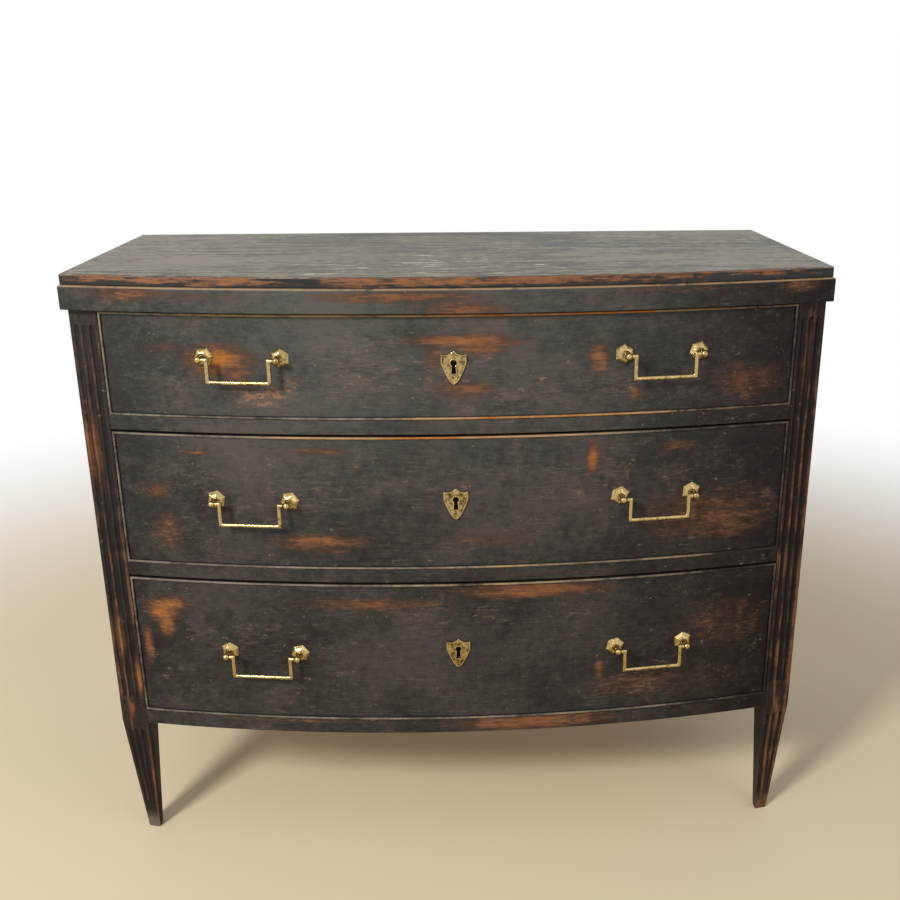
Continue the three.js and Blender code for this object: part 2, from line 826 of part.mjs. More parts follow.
const pairs = [
  ['front_post', frontPost(), paintedDark],
  ['rear_post', rearPost(), paintedDark],
  ['side_panel', sidePanel(), painted],
];
for (const [name, geometry, look] of pairs) {
  add(`${name}_right`, geometry, look);
  add(`${name}_left`, mirrored(geometry), look);
}
add('back_panel', backPanel(), bareWood);

// Each rail fills the space between two drawer openings and takes the bolt of the drawer below it
['upper', 'lower'].forEach((name, index) => {
  const railBottom = openings[index + 1].top;
  const railTop = openings[index].bottom;
  add(`rail_${name}`, cut(rail(railBottom, railTop), boltMortise(railBottom)), painted);
  add(`dust_board_${name}`, dustBoard(railTop), bareWood);
});
add('rail_bottom', rail(legHeight, legHeight + bottomRailHeight), painted);
add('bottom_board', dustBoard(openings[2].bottom), bareWood);

const sideNames = { '-1': 'left', 1: 'right' };
drawerNames.forEach((name, index) => {
  add(`${name}_drawer_front`, drawerFront(index), painted);
  add(`${name}_cockbead`, cockbead(index), beadWood);
  const side = drawerSide(index);
  add(`${name}_drawer_side_right`, side, bareWood);
  add(`${name}_drawer_side_left`, mirrored(side), bareWood);
  add(`${name}_drawer_back`, drawerBack(index), bareWood);
  add(`${name}_drawer_bottom`, drawerBottomSolid(index), bareWood);
  add(`${name}_escutcheon`, escutcheon(index), brass);
  add(`${name}_lock_case`, lockCase(index), iron);
  add(`${name}_lock_bolt`, lockBolt(index), iron);
  for (const place of handlePlaces(index)) {
    const handle = `${name}_${sideNames[place.side]}`;
    add(`${handle}_bail`, bail(), brass, place);
    for (const spot of place.rosettes) {
      add(`${handle}_rosette_${sideNames[spot.end]}`, rosette(spot), brass, spot);
    }
  }
});

export default chest;
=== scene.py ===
"""Bow-fronted commode chest in worn black paint, with brass bails, rosettes and shield escutcheons.

The packed model gives every place and overall size. This script makes the fine surfaces of the pieces
that show, the finishes of all pieces, a plain floor, soft light and the camera. Lengths are in metres,
+Z is up and the front faces -Y.
"""

import json
import math

import bpy
import numpy as np
from bpy.props import FloatProperty, FloatVectorProperty, IntProperty, PointerProperty
from mathutils import Matrix, Vector


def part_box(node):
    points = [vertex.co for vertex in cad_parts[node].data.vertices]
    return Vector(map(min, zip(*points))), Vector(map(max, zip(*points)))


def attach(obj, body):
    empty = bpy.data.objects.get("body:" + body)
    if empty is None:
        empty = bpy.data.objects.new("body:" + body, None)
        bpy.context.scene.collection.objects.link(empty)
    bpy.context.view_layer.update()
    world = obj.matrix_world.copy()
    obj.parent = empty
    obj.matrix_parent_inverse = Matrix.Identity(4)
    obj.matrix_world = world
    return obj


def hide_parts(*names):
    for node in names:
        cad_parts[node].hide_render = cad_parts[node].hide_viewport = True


bl_info = {
    "name": "Bow-fronted Commode Chest",
    "version": (1, 0, 0),
    "blender": (4, 5, 0),
    "location": "View3D > Sidebar > Commode",
    "description": "Makes the fine pieces, finishes and stage of a worn bow-fronted commode chest",
    "category": "Add Mesh",
}

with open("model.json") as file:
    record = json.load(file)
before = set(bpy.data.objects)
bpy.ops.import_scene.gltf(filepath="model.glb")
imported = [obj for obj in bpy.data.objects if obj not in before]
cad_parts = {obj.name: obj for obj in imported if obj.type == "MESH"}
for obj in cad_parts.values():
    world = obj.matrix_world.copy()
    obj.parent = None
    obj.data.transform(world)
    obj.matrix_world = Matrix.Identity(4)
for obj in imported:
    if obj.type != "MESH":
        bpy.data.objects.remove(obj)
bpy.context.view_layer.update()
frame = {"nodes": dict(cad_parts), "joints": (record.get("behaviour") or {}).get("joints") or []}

DRAWERS = ("upper", "middle", "lower")
SIDES = {"left": -1, "right": 1}
DEGREE = math.pi / 180
# Angle above which an edge stays sharp
CREASE = 35 * DEGREE


def low(node):
    """Lowest corner of a node of the packed model."""
    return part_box(node)[0]


def high(node):
    """Highest corner of a node of the packed model."""
    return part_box(node)[1]


def span(node):
    """Half width, back, bottom and top of a node of the packed model."""
    return high(node).x, high(node).y, low(node).z, high(node).z


def joint(name):
    """A joint of the packed model."""
    return next(found for found in frame["joints"] if found["name"] == name)


HALF_WIDTH = high("front_post_right").x
OPENING_HALF = low("front_post_right").x
FRONT_APEX = low("rail_bottom").y
BACK = high("rear_post_right").y
LEG_TOP = low("rail_bottom").z
RAIL_TOP = high("rail_bottom").z
POST_TOP = high("front_post_right").z


def linear(code):
    """Scene-linear colour of a six-digit display colour."""
    values = (int(code[place:place + 2], 16) / 255 for place in (0, 2, 4))
    return tuple(v / 12.92 if v <= 0.04045 else ((v + 0.055) / 1.055) ** 2.4 for v in values)


def length(name, description, default):
    """A length that the sidebar shows in the scene's unit."""
    return FloatProperty(
        name=name, description=description, default=default, min=0, unit="LENGTH", precision=5)


def colour(name, description, code):
    """A colour that the sidebar shows as a swatch."""
    return FloatVectorProperty(
        name=name, description=description, default=linear(code), subtype="COLOR", min=0, max=1)


class CommodeCase(bpy.types.PropertyGroup):
    """Sizes of the case, its top, rails, posts and legs"""

    bow: length("Bow", "How far the front swells past the corners of the case", 0.062)
    top_round: length("Top edge round", "Radius of the top board's upper edge", 0.0022)
    top_front: length("Top front overhang", "Top board past the drawer faces", 0.010)
    frieze_front: length("Frieze front overhang", "Frieze past the drawer faces", 0.014)
    frieze_round: length("Frieze round", "Radius of the frieze's upper edge", 0.0038)
    frieze_lower_round: length("Frieze lower round", "Radius of the frieze's lower edge", 0.0012)
    frieze_front_inset: length("Frieze front inset", "Inner face behind the drawer faces", 0.042)
    frieze_side_inset: length("Frieze side inset", "Inner face inside the case's side", 0.044)
    edge_round: length("Edge round", "Softened edges of posts and rails", 0.0011)
    post_depth: length("Post depth", "Depth of a front post at its outer face", 0.050)
    foot_width: length("Foot width", "Width of a leg at the floor", 0.0185)
    foot_depth: length("Foot depth", "Depth of a leg at the floor", 0.017)
    toe_chamfer: length("Toe chamfer", "Height of the chamfer at a leg's foot", 0.0012)


class CommodeFlutes(bpy.types.PropertyGroup):
    """Sizes of the stopped flutes in the front posts and legs"""

    count: IntProperty(name="Count", description="Flutes in each post", default=3, min=1, max=7)
    width: length("Width", "Width of a flute", 0.0076)
    depth: length("Depth", "Depth of a flute", 0.0026)
    pitch: length("Pitch", "Distance from one flute to the next", 0.0114)
    top_gap: length("Top gap", "Plain post above the flutes", 0.026)
    bottom_gap: length("Bottom gap", "Plain post between the bottom rail and the flutes", 0.020)
    leg_top_gap: length("Leg top gap", "Plain leg above its flutes", 0.017)
    leg_bottom_gap: length("Leg bottom gap", "Plain leg below its flutes", 0.042)
    leg_end_width: length("Leg end width", "Width of a leg's flute at its lower end", 0.0034)
    leg_end_depth: length("Leg end depth", "Depth of a leg's flute at its lower end", 0.0013)


class CommodeDrawers(bpy.types.PropertyGroup):
    """Sizes of the drawer fronts and their cockbeads"""

    thickness: length("Front thickness", "Thickness of a drawer front", 0.024)
    bead_width: length("Bead width", "Width of a cockbead", 0.004)
    bead_proud: length("Bead proud", "Cockbead past the drawer's face", 0.003)
    bead_depth: length("Bead depth", "Depth of a cockbead behind the face", 0.009)
    seam: length("Seam", "Gap between pieces that touch", 0.0003)


class CommodeBrass(bpy.types.PropertyGroup):
    """Sizes of the handles and escutcheons"""

    handle_inset: length("Handle inset", "Handle's middle in from the drawer's end", 0.195)
    post_spacing: length("Post spacing", "Distance between a handle's balls", 0.107)
    rosette_radius: length("Rosette radius", "From a rosette's middle to a corner", 0.0145)
    rosette_base: length("Rosette base", "Height of a rosette's side wall", 0.0016)
    rosette_height: length("Rosette height", "Height of a rosette", 0.0068)
    rosette_hollow: length("Rosette hollow", "Depth of the hollow in a rosette", 0.0018)
    neck_radius: length("Neck radius", "Radius of the neck under a ball", 0.0029)
    ball_radius: length("Ball radius", "Radius of a ball", 0.005)
    ball_stand: length("Ball stand", "From the drawer's face to a ball's middle", 0.020)
    arm_spacing: length("Arm spacing", "Distance between a bail's arms", 0.0854)
    bail_drop: length("Bail drop", "From the pins to the grip", 0.031)
    rod_radius: length("Rod radius", "Radius of a bail's rod", 0.003)
    pin_radius: length("Pin radius", "Radius of a bail's pins", 0.002)
    collar_radius: length("Collar radius", "Radius of the collar beside a ball", 0.0033)
    shield_width: length("Shield width", "Width of an escutcheon", 0.035)
    shield_height: length("Shield height", "Height of an escutcheon", 0.0465)
    shield_thickness: length("Shield thickness", "Thickness of an escutcheon", 0.0024)
    shield_rim: length("Shield rim", "Width of an escutcheon's raised rim", 0.0018)
    shield_proud: length("Rim proud", "Height of the raised rims over the field", 0.0007)
    shoulder_drop: length("Shoulder drop", "From an escutcheon's peak to its shoulders", 0.0044)
    shield_dip: length("Edge dip", "How far an escutcheon's top edges sink in", 0.0022)
    key_radius: length("Keyhole radius", "Radius of the keyhole's head", 0.0044)
    key_rise: length("Keyhole rise", "Keyhole's head above the drawer's middle", 0.0064)
    key_slot_top: length("Slot top", "Width of the keyhole's slot at its top", 0.0046)
    key_slot_foot: length("Slot foot", "Width of the keyhole's slot at its foot", 0.0066)
    key_slot_reach: length("Slot reach", "From the keyhole's head to its foot", 0.015)
    key_rim: length("Keyhole rim", "Width of the keyhole's raised rim", 0.0017)


class CommodeColours(bpy.types.PropertyGroup):
    """Colours of the finishes"""

    # The cool paint is lighter and sits at the left, the warm paint darker at the right: partly the
    # paint's own tone, partly painted light, a lit left and a shaded right. The warm dark paint is also
    # the colour of painted shade.
    cool_light_lit: colour("Cool paint", "Paint at the left, where it is worn thin", "525350")
    cool_dark_lit: colour("Cool paint, dark", "Paint at the left, where it is thick", "2e2e2c")
    warm_light_shaded: colour("Warm paint", "Paint at the right, where it is worn thin", "2f2826")
    warm_dark_shaded: colour("Warm paint, dark", "Paint at the right, where it is thick", "0f0b0a")
    faded_and_sheen: colour("Faded paint", "Purple-brown paint where the upper coat has gone", "524643")
    scuffed: colour("Scuffed paint", "Brown ground where chips have merged", "695a4f")
    chip: colour("Chips", "Small chips in the paint", "8a6f60")
    bitten: colour("Deep chips", "Chips down to the stained wood", "9c6b50")
    speck: colour("Specks", "Small pale specks and scratches", "8d857b")
    wood_orange: colour("Orange wood", "Rubbed wood at its brightest", "9c6228")
    wood_tan: colour("Tan wood", "Rubbed wood over most of a worn spot", "7c5337")
    wood_brown: colour("Brown wood", "Rubbed wood at its darkest", "4e3628")
    wood_red: colour("Red wood", "Stained wood under the paint", "59352a")
    # Tan and grey lines on edges and bead noses: rubbed paint, partly also a painted highlight
    edge_tan: colour("Tan edge", "Thin rubbed lines on edges and beads", "a88763")
    edge_grey: colour("Grey edge", "Beads that are only a little rubbed", "7d7366")
    top_grey: colour("Top grey", "Paint on the top board", "8e8976")
    top_dark: colour("Top dark", "Dark streaks on the top board", "38332e")
    top_brown: colour("Top brown", "Brown streaks on the top board", "5d5049")
    top_olive: colour("Top olive", "Paint in the middle of the top board", "7c755e")
    top_pale: colour("Top pale", "Scuffs on the top board", "cfc8b6")
    brass_gold: colour("Brass", "Rubbed brass", "bda470")
    # Brass patina, also used as painted shade on the bails and in the rosettes' hollows
    brass_olive_and_shade: colour("Brass patina", "Brass in its hollows", "4e3b1b")
    inner_wood: colour("Inner wood", "Bare wood inside the chest", "b08d62")
    inner_dark: colour("Inner wood grain", "Grain of the bare wood", "8a6740")
    iron: colour("Iron", "Locks and bolts", "4a4640")
    floor: colour("Floor", "Plain floor", "e1d1b3")


class CommodeStage(bpy.types.PropertyGroup):
    """Camera, lamps and floor"""

    eye: FloatVectorProperty(
        name="Camera place", description="Where the camera stands", size=3,
        default=(-0.0044, -1.7330, 1.1084), subtype="XYZ", unit="LENGTH", precision=4)
    yaw: FloatProperty(
        name="Yaw", description="Camera's turn towards +X", default=2.566 * DEGREE, subtype="ANGLE")
    pitch: FloatProperty(
        name="Pitch", description="Camera's tilt down", default=19.905 * DEGREE, subtype="ANGLE")
    roll: FloatProperty(
        name="Roll", description="Camera's roll", default=-0.165 * DEGREE, subtype="ANGLE")
    lens: FloatProperty(
        name="Lens", description="Focal length", default=44.845, subtype="DISTANCE_CAMERA")
    shift: FloatVectorProperty(
        name="Shift", description="Camera shift, as a share of the picture", size=2,
        default=(-0.0556, 0.0556))
    world_strength: FloatProperty(
        name="World strength", description="Light of the world on the chest", default=0.5, min=0)
    key_power: FloatProperty(
        name="Key power", description="Power of the large lamp at the upper left", default=136, min=0)
    fill_power: FloatProperty(
        name="Fill power", description="Power of the lamp at the right", default=12, min=0)


class Bow:
    """The circle in plan that the front follows, and places on it."""

    def __init__(self, case):
        self.radius = (HALF_WIDTH ** 2 + case.bow ** 2) / (2 * case.bow)
        self.centre = FRONT_APEX + self.radius

    def y(self, x, out=0.0):
        """The circle's near side at x, at a distance out from the drawer faces."""
        return self.centre - np.sqrt((self.radius + out) ** 2 - np.square(x))

    def seat(self, points, angle, out, z):
        """Points in a fitting's own frame, whose -Y points away from the face, set on the bow.

        They move out by a distance, turn by the angle about the middle of the bow and rise to z.
        """
        x, y, lift = np.moveaxis(points, -1, 0)
        reach = y - self.radius - out
        return places(
            x * math.cos(angle) - reach * math.sin(angle),
            x * math.sin(angle) + reach * math.cos(angle) + self.centre, lift + z)


def places(x, y, z):
    """Points from their coordinates, any of which may be one number for all."""
    return np.stack(np.broadcast_arrays(x, y, z), axis=-1)


def numbered(grid, first=0):
    """Numbers of a grid's points, row by row from first."""
    rows, columns = grid.shape[:2]
    return first + np.arange(rows * columns).reshape(rows, columns)


def grid_faces(numbers, wrap_rows=False, wrap_columns=False):
    """Quads between neighbours of a grid of point numbers."""
    if wrap_rows:
        numbers = np.vstack([numbers, numbers[:1]])
    if wrap_columns:
        numbers = np.hstack([numbers, numbers[:, :1]])
    return np.stack(
        [numbers[:-1, :-1], numbers[:-1, 1:], numbers[1:, 1:], numbers[1:, :-1]], axis=-1).reshape(-1, 4)


def stacked_rings(rings):
    """Points, quads and end caps of a solid through closed rings of equally many points."""
    numbers = numbered(rings)
    caps = [numbers[0, ::-1].tolist(), numbers[-1].tolist()]
    return rings.reshape(-1, 3), grid_faces(numbers, wrap_columns=True), caps


def closed_loops(loops):
    """Points and quads of a closed band, such as a section carried round a frame, and no caps."""
    loops = np.asarray(loops)
    return loops.reshape(-1, 3), grid_faces(numbered(loops), wrap_rows=True, wrap_columns=True), ()


def grid_border(grid):
    """A grid's first row, its last column, its last row backwards and its first column backwards."""
    return np.concatenate([grid[0, :-1], grid[:-1, -1], grid[-1, :0:-1], grid[:0:-1, 0]])


def board(first, rings, last):
    """Points and quads of a board, and no caps.

    Its first and last grid are joined round their borders through the borders of those between.
    """
    borders = np.stack([grid_border(ring) for ring in rings])
    front = numbered(first)
    middle = numbered(borders, front.size)
    back = numbered(last, front.size + middle.size)
    bands = np.vstack([grid_border(front), middle, grid_border(back)])
    points = np.concatenate([part.reshape(-1, 3) for part in (first, borders, last)])
    quads = [grid_faces(front)[:, ::-1], grid_faces(bands, wrap_columns=True), grid_faces(back)]
    return points, np.concatenate(quads), ()


def build_mesh(name, solid, fields, crease):
    """Mesh of a closed surface, its faces turned outwards, with a number at each point for each field.

    The sum of the signed volumes between the middle of the points and each face is positive where the
    faces point out. Angles above the crease stay sharp.
    """
    points, quads, caps = solid
    a, b, c, d = np.moveaxis(points[quads], 1, 0)
    doubled = np.cross(b - a, c - a) + np.cross(c - a, d - a)
    volume = np.einsum("ij,ij->", (a + b + c + d) / 4 - points.mean(axis=0), doubled)
    turn = 1 if volume > 0 else -1
    mesh = bpy.data.meshes.new(name)
    mesh.from_pydata(points.tolist(), [], quads[:, ::turn].tolist() + [cap[::turn] for cap in caps])
    for key, values in fields.items():
        layer = mesh.attributes.new(key, "FLOAT", "POINT")
        layer.data.foreach_set("value", np.asarray(values, np.float32).ravel())
    mesh.shade_smooth()
    mesh.set_sharp_from_angle(angle=crease)
    mesh.validate()
    return mesh


def link(name, data):
    """Object in the scene with a mesh, lamp or camera."""
    made = bpy.data.objects.new(name, data)
    bpy.context.scene.collection.objects.link(made)
    return made


def make_piece(name, node, body, material, solid, fields, crease=CREASE):
    """Object from a closed surface, which stands for a node of the packed model and rides on a body."""
    piece = link(name, build_mesh(name, solid, fields, crease))
    piece.data.materials.append(material)
    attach(piece, body)
    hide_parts(node)
    return piece


def carve(piece, *cutters):
    """Cuts closed solids out of a piece."""
    for cutter in cutters:
        change = piece.modifiers.new(cutter.name, "BOOLEAN")
        change.operation = "DIFFERENCE"
        change.solver = "EXACT"
        change.object = cutter
    shown = piece.evaluated_get(bpy.context.evaluated_depsgraph_get())
    mesh = bpy.data.meshes.new_from_object(shown)
    piece.modifiers.clear()
    spent = [piece.data] + [cutter.data for cutter in cutters]
    piece.data = mesh
    for cutter in cutters:
        bpy.data.objects.remove(cutter)
    for shape in spent:
        bpy.data.meshes.remove(shape)


def cutter_prism(name, outline, front, back):
    """Solid from an outline in the plane of the front, carried from one y to another."""
    x, z = np.asarray(outline, float).T
    rings = np.stack([places(x, y, z) for y in (front, back)])
    return link(name, build_mesh(name, stacked_rings(rings), {}, CREASE))


def cutter_about(name, node, seam, **limits):
    """Box round a node: a seam away from it, except at the bottom, top or back that is given."""
    left, front, bottom = (value - seam for value in low(node))
    right, back, top = (value + seam for value in high(node))
    bottom = limits.get("bottom", bottom)
    top = limits.get("top", top)
    outline = [(left, bottom), (right, bottom), (right, top), (left, top)]
    return cutter_prism(name, outline, front, limits.get("back", back))


def softened(distance, reach):
    """One at no distance, falling off as a bell whose width is reach."""
    return np.exp(-np.square(np.asarray(distance) / reach))


# How fast a worn spot falls off: its strength is halved at its half width
SPOT_FALL = 0.7


def rubbed(x, z, spots):
    """How far each point is rubbed through.

    The strongest of the spots there: each is an ellipse that falls off as a bell from its middle.
    """
    x = np.asarray(x)[..., None]
    z = np.asarray(z)[..., None]
    spots = np.asarray(spots, float)
    away = np.square((x - spots[:, 0]) / spots[:, 2]) + np.square((z - spots[:, 1]) / spots[:, 3])
    return (spots[:, 4] * np.exp(-SPOT_FALL * away)).max(axis=-1)


# How far wear reaches from the edge that it follows, and for the beads how wide the nose's line of wear
# and painted highlight is
WEAR_AND_HIGHLIGHT_REACH = {
    "slab_in": 0.010, "slab_down": 0.006, "slab_spots": 0.004, "rail": 0.0018, "post": 0.009,
    "bead": 0.0009}
# Worn spots on the painted pieces: x, z, half width, half height and strength of each
FRIEZE_SPOTS = [
    (-0.432, 0.859, 0.046, 0.008, 0.68),
    (-0.350, 0.857, 0.080, 0.007, 0.3),
    (-0.075, 0.858, 0.085, 0.006, 0.82),
    (0.013, 0.841, 0.049, 0.009, 0.66),
    (0.481, 0.862, 0.027, 0.010, 0.55),
    (0.300, 0.862, 0.060, 0.004, 0.5),
]
DRAWER_SPOTS = {
    "upper": [
        (-0.320, 0.770, 0.038, 0.016, 1.15),
        (-0.345, 0.772, 0.020, 0.008, 0.8),
        (-0.296, 0.750, 0.020, 0.018, 0.6),
        (-0.395, 0.785, 0.035, 0.008, 0.35),
        (0.013, 0.796, 0.060, 0.008, 1.05),
        (0.040, 0.786, 0.030, 0.010, 0.6),
        (-0.028, 0.776, 0.012, 0.020, 0.5),
        (0.010, 0.730, 0.040, 0.012, 0.55),
        (0.200, 0.769, 0.012, 0.016, 0.85),
        (0.252, 0.718, 0.008, 0.010, 0.7),
        (0.416, 0.728, 0.045, 0.024, 0.42),
    ],
    "middle": [
        (-0.363, 0.636, 0.016, 0.002, 1.0),
        (0.194, 0.626, 0.007, 0.017, 1.15),
        (-0.195, 0.505, 0.052, 0.012, 0.78),
        (0.372, 0.530, 0.090, 0.035, 0.5),
        (0.400, 0.505, 0.045, 0.014, 0.55),
        (0.350, 0.548, 0.035, 0.006, 0.6),
        (-0.427, 0.575, 0.023, 0.014, 0.45),
        (-0.415, 0.515, 0.023, 0.025, 0.45),
        (-0.191, 0.642, 0.038, 0.005, 0.6),
        (0.313, 0.638, 0.023, 0.009, 0.5),
        (0.050, 0.510, 0.080, 0.020, 0.25),
    ],
    "lower": [
        (-0.440, 0.388, 0.019, 0.017, 1.1),
        (-0.424, 0.398, 0.018, 0.011, 1.05),
        (-0.434, 0.366, 0.011, 0.016, 1.05),
        (-0.466, 0.330, 0.006, 0.026, 0.95),
        (-0.128, 0.408, 0.090, 0.010, 0.58),
        (-0.130, 0.406, 0.030, 0.005, 0.75),
        (0.106, 0.425, 0.089, 0.010, 0.95),
        (0.407, 0.353, 0.059, 0.041, 0.33),
        (0.385, 0.350, 0.025, 0.012, 0.42),
        (0.430, 0.375, 0.010, 0.014, 0.5),
        (0.269, 0.262, 0.056, 0.020, 0.5),
        (0.212, 0.290, 0.006, 0.014, 0.7),
    ],
}
# Scuffed and chipped places on the drawer fronts, in the same form
DRAWER_CHIPS = {
    "upper": [
        (-0.130, 0.758, 0.060, 0.036, 1.0),
        (-0.085, 0.790, 0.020, 0.020, 0.8),
        (-0.262, 0.718, 0.030, 0.013, 2.0),
        (-0.222, 0.735, 0.012, 0.012, 1.7),
        (0.090, 0.728, 0.100, 0.022, 0.55),
        (0.200, 0.765, 0.014, 0.020, 0.6),
        (0.235, 0.725, 0.030, 0.020, 0.5),
        (0.000, 0.760, 0.060, 0.050, 0.5),
    ],
    "middle": [
        (-0.120, 0.590, 0.140, 0.040, 0.38),
        (-0.360, 0.585, 0.030, 0.030, 0.5),
        (0.200, 0.600, 0.060, 0.030, 0.45),
        (0.330, 0.600, 0.060, 0.020, 0.25),
    ],
    "lower": [
        (0.000, 0.390, 0.150, 0.020, 0.4),
        (0.270, 0.270, 0.060, 0.030, 0.5),
        (-0.300, 0.345, 0.080, 0.020, 0.5),
    ],
}
RAIL_SPOTS = {
    "bottom": [(0.119, 0.206, 0.096, 0.010, 0.9), (-0.250, 0.212, 0.150, 0.004, 0.4)],
    "upper": [(0.0, 0.675, 0.200, 0.004, 0.2)],
    "lower": [(0.150, 0.452, 0.120, 0.004, 0.3)],
}
SLAB_SPOTS = [
    (-0.470, 0.879, 0.060, 0.005, 0.8),
    (-0.400, 0.877, 0.050, 0.005, 0.9),
    (-0.300, 0.877, 0.080, 0.006, 1.0),
    (-0.120, 0.877, 0.050, 0.007, 0.95),
    (-0.020, 0.877, 0.090, 0.007, 1.0),
    (0.120, 0.878, 0.110, 0.006, 1.0),
    (0.280, 0.879, 0.110, 0.005, 0.68),
    (0.430, 0.879, 0.080, 0.005, 0.6),
]
POST_SPOTS = [
    (-0.520, 0.640, 0.005, 0.050, 0.9),
    (-0.509, 0.635, 0.005, 0.045, 0.9),
    (-0.512, 0.340, 0.006, 0.035, 0.9),
    (-0.489, 0.270, 0.005, 0.026, 1.2),
    (-0.508, 0.215, 0.005, 0.014, 0.8),
    (-0.481, 0.100, 0.0045, 0.085, 1.15),
    (0.525, 0.570, 0.004, 0.050, 0.9),
    (0.503, 0.760, 0.004, 0.050, 0.7),
    (0.523, 0.300, 0.004, 0.035, 0.9),
    (0.506, 0.170, 0.006, 0.040, 0.7),
    (0.494, 0.090, 0.003, 0.050, 0.8),
]
# Rubbed stretches of the beads: x, lower or upper edge, half length and strength of each
BEAD_SPOTS = {
    "upper": [(0.18, 1, 0.30, 1.0), (0.13, -1, 0.20, 0.9), (-0.30, 1, 0.14, 0.35)],
    "middle": [(-0.04, 1, 0.19, 1.0), (0.10, -1, 0.25, 0.3)],
    "lower": [(0.05, 1, 0.20, 0.35), (-0.10, -1, 0.30, 0.2)],
}


def plan_layer(bow, shares, half, out, back, z):
    """Grid in plan at a height, between the bowed front, the two ends and the straight back.

    Shares across run from -1 to 1 and shares deep from 0 at the front to 1 at the back.
    """
    across, deep = shares
    x = half * across[None, :] + 0 * deep[:, None]
    front = bow.y(x, out)
    return places(x, front + (back - front) * deep[:, None], z)


def top_board(case, bow, material):
    """Slab with a rounded upper edge.

    Top and bottom are grids in plan. The round is a quarter circle of rings between them.
    """
    half, back, bottom, top = span("top_board")
    shares = np.linspace(-1, 1, 181), np.linspace(0, 1, 81)
    radius = case.top_round

    def layer(inset, z):
        return plan_layer(bow, shares, half - inset, case.top_front - inset, back - inset, z)

    turns = np.radians(np.linspace(75, 0, 6))
    rings = [layer(radius * (1 - math.cos(t)), top - radius * (1 - math.sin(t))) for t in turns]
    rings += [layer(0, z) for z in np.linspace(top - 1.6 * radius, bottom + radius / 4, 5)]
    solid = board(layer(radius, top), rings, layer(radius / 4, bottom))
    x, y, z = solid[0].T
    inward = np.minimum(np.minimum(half - np.abs(x), back - y), y - bow.y(x, case.top_front))
    fields = {
        "edge": softened(inward, WEAR_AND_HIGHLIGHT_REACH["slab_in"]) * softened(top - z, WEAR_AND_HIGHLIGHT_REACH["slab_down"]),
        "rub": rubbed(x, z, SLAB_SPOTS) * softened(inward, WEAR_AND_HIGHLIGHT_REACH["slab_spots"])}
    make_piece("top_board_slab", "top_board", "carcass", material, solid, fields)


def bolt_mortise(drawer, underside, drawers):
    """Cutter for the pocket that takes a drawer's thrown bolt."""
    bolt = drawer + "_lock_bolt"
    top = underside + joint(bolt + "_throw")["range_m"][1]
    bottom = underside - drawers.bead_width
    return cutter_about(drawer + "_mortise", bolt, drawers.seam, bottom=bottom, top=top)


def frieze(case, drawers, bow, material):
    """Moulded frame under the slab.

    A section, flat inside with a small lower and a larger upper quarter round outside, is carried
    round the case: each of its points follows the outline in plan at its own inset.
    """
    half, _, bottom, top = span("frieze_moulding")
    turns = np.radians(np.linspace(0, 90, 8))
    lower = case.frieze_lower_round
    upper = case.frieze_round
    flat = np.linspace(bottom + 2 * lower, top - 1.4 * upper, 7)
    inset = np.concatenate([
        lower * (1 - np.sin(turns[::2])), 0 * flat, upper * (1 - np.cos(turns)), [3 * upper]])
    height = np.concatenate([
        bottom + lower * (1 - np.cos(turns[::2])), flat, top - upper * (1 - np.sin(turns)), [top]])
    shares = np.linspace(-1, 1, 241), np.linspace(0, 1, 61)
    outer = [(half - i, case.frieze_front - i, BACK, z) for i, z in zip(inset, height)]
    behind = case.frieze_front_inset
    inner = [(HALF_WIDTH - case.frieze_side_inset, -behind, BACK - behind, z) for z in (top, bottom)]
    solid = closed_loops([grid_border(plan_layer(bow, shares, *row)) for row in outer + inner])
    x, y, z = solid[0].T
    # The edge field marks the upper round, for a thin tan line that is partly rubbed paint and partly a
    # painted highlight
    fields = {
        "edge": softened(top - z - upper / 3, upper),
        "rub": rubbed(x, z, FRIEZE_SPOTS) * (y < bow.y(x, 0))}
    piece = make_piece(
        "frieze_frame", "frieze_moulding", "carcass", material, solid, fields)
    carve(piece, bolt_mortise("upper", bottom, drawers))


# The drawer whose bolt goes up into each rail
DRAWER_UNDER = {"upper": "middle", "lower": "lower"}


def rail(name, case, drawers, bow, material):
    """Bowed rail: its front face is a grid on the bow, with rounded upper and lower edges."""
    node = "rail_" + name
    half, back, bottom, top = span(node)
    x, share = np.meshgrid(np.linspace(-half, half, 193), np.linspace(-1, 1, 13))
    middle = (bottom + top) / 2
    tall = (top - bottom) / 2
    radius = case.edge_round

    def layer(deep, inset):
        return places(x, bow.y(x, -deep), middle + (tall - inset) * share)

    turns = np.radians((30, 60, 90))
    rings = [layer(radius * (1 - math.cos(t)), radius * (1 - math.sin(t))) for t in turns]
    solid = board(layer(0, radius), rings, places(x, back, middle + tall * share))
    places_x, _, places_z = solid[0].T
    reach = WEAR_AND_HIGHLIGHT_REACH["rail"]
    fields = {
        "edge": softened(top - places_z, reach) + softened(places_z - bottom, reach),
        "rub": rubbed(places_x, places_z, RAIL_SPOTS[name])}
    piece = make_piece(node + "_bowed", node, "carcass", material, solid, fields)
    if name in DRAWER_UNDER:
        carve(piece, bolt_mortise(DRAWER_UNDER[name], bottom, drawers))


# How much painted shade the flutes of each post take: much in the right post, away from the light,
# little in the left
GROOVE_SHADE = {"left": 0.25, "right": 0.9}
# Points across a flute
FLUTE_POINTS = 15


def flute_ends(flutes):
    """Lower and upper end of the flutes in a leg and of those in a post."""
    return (
        (flutes.leg_bottom_gap, LEG_TOP - flutes.leg_top_gap),
        (RAIL_TOP + flutes.bottom_gap, POST_TOP - flutes.top_gap))


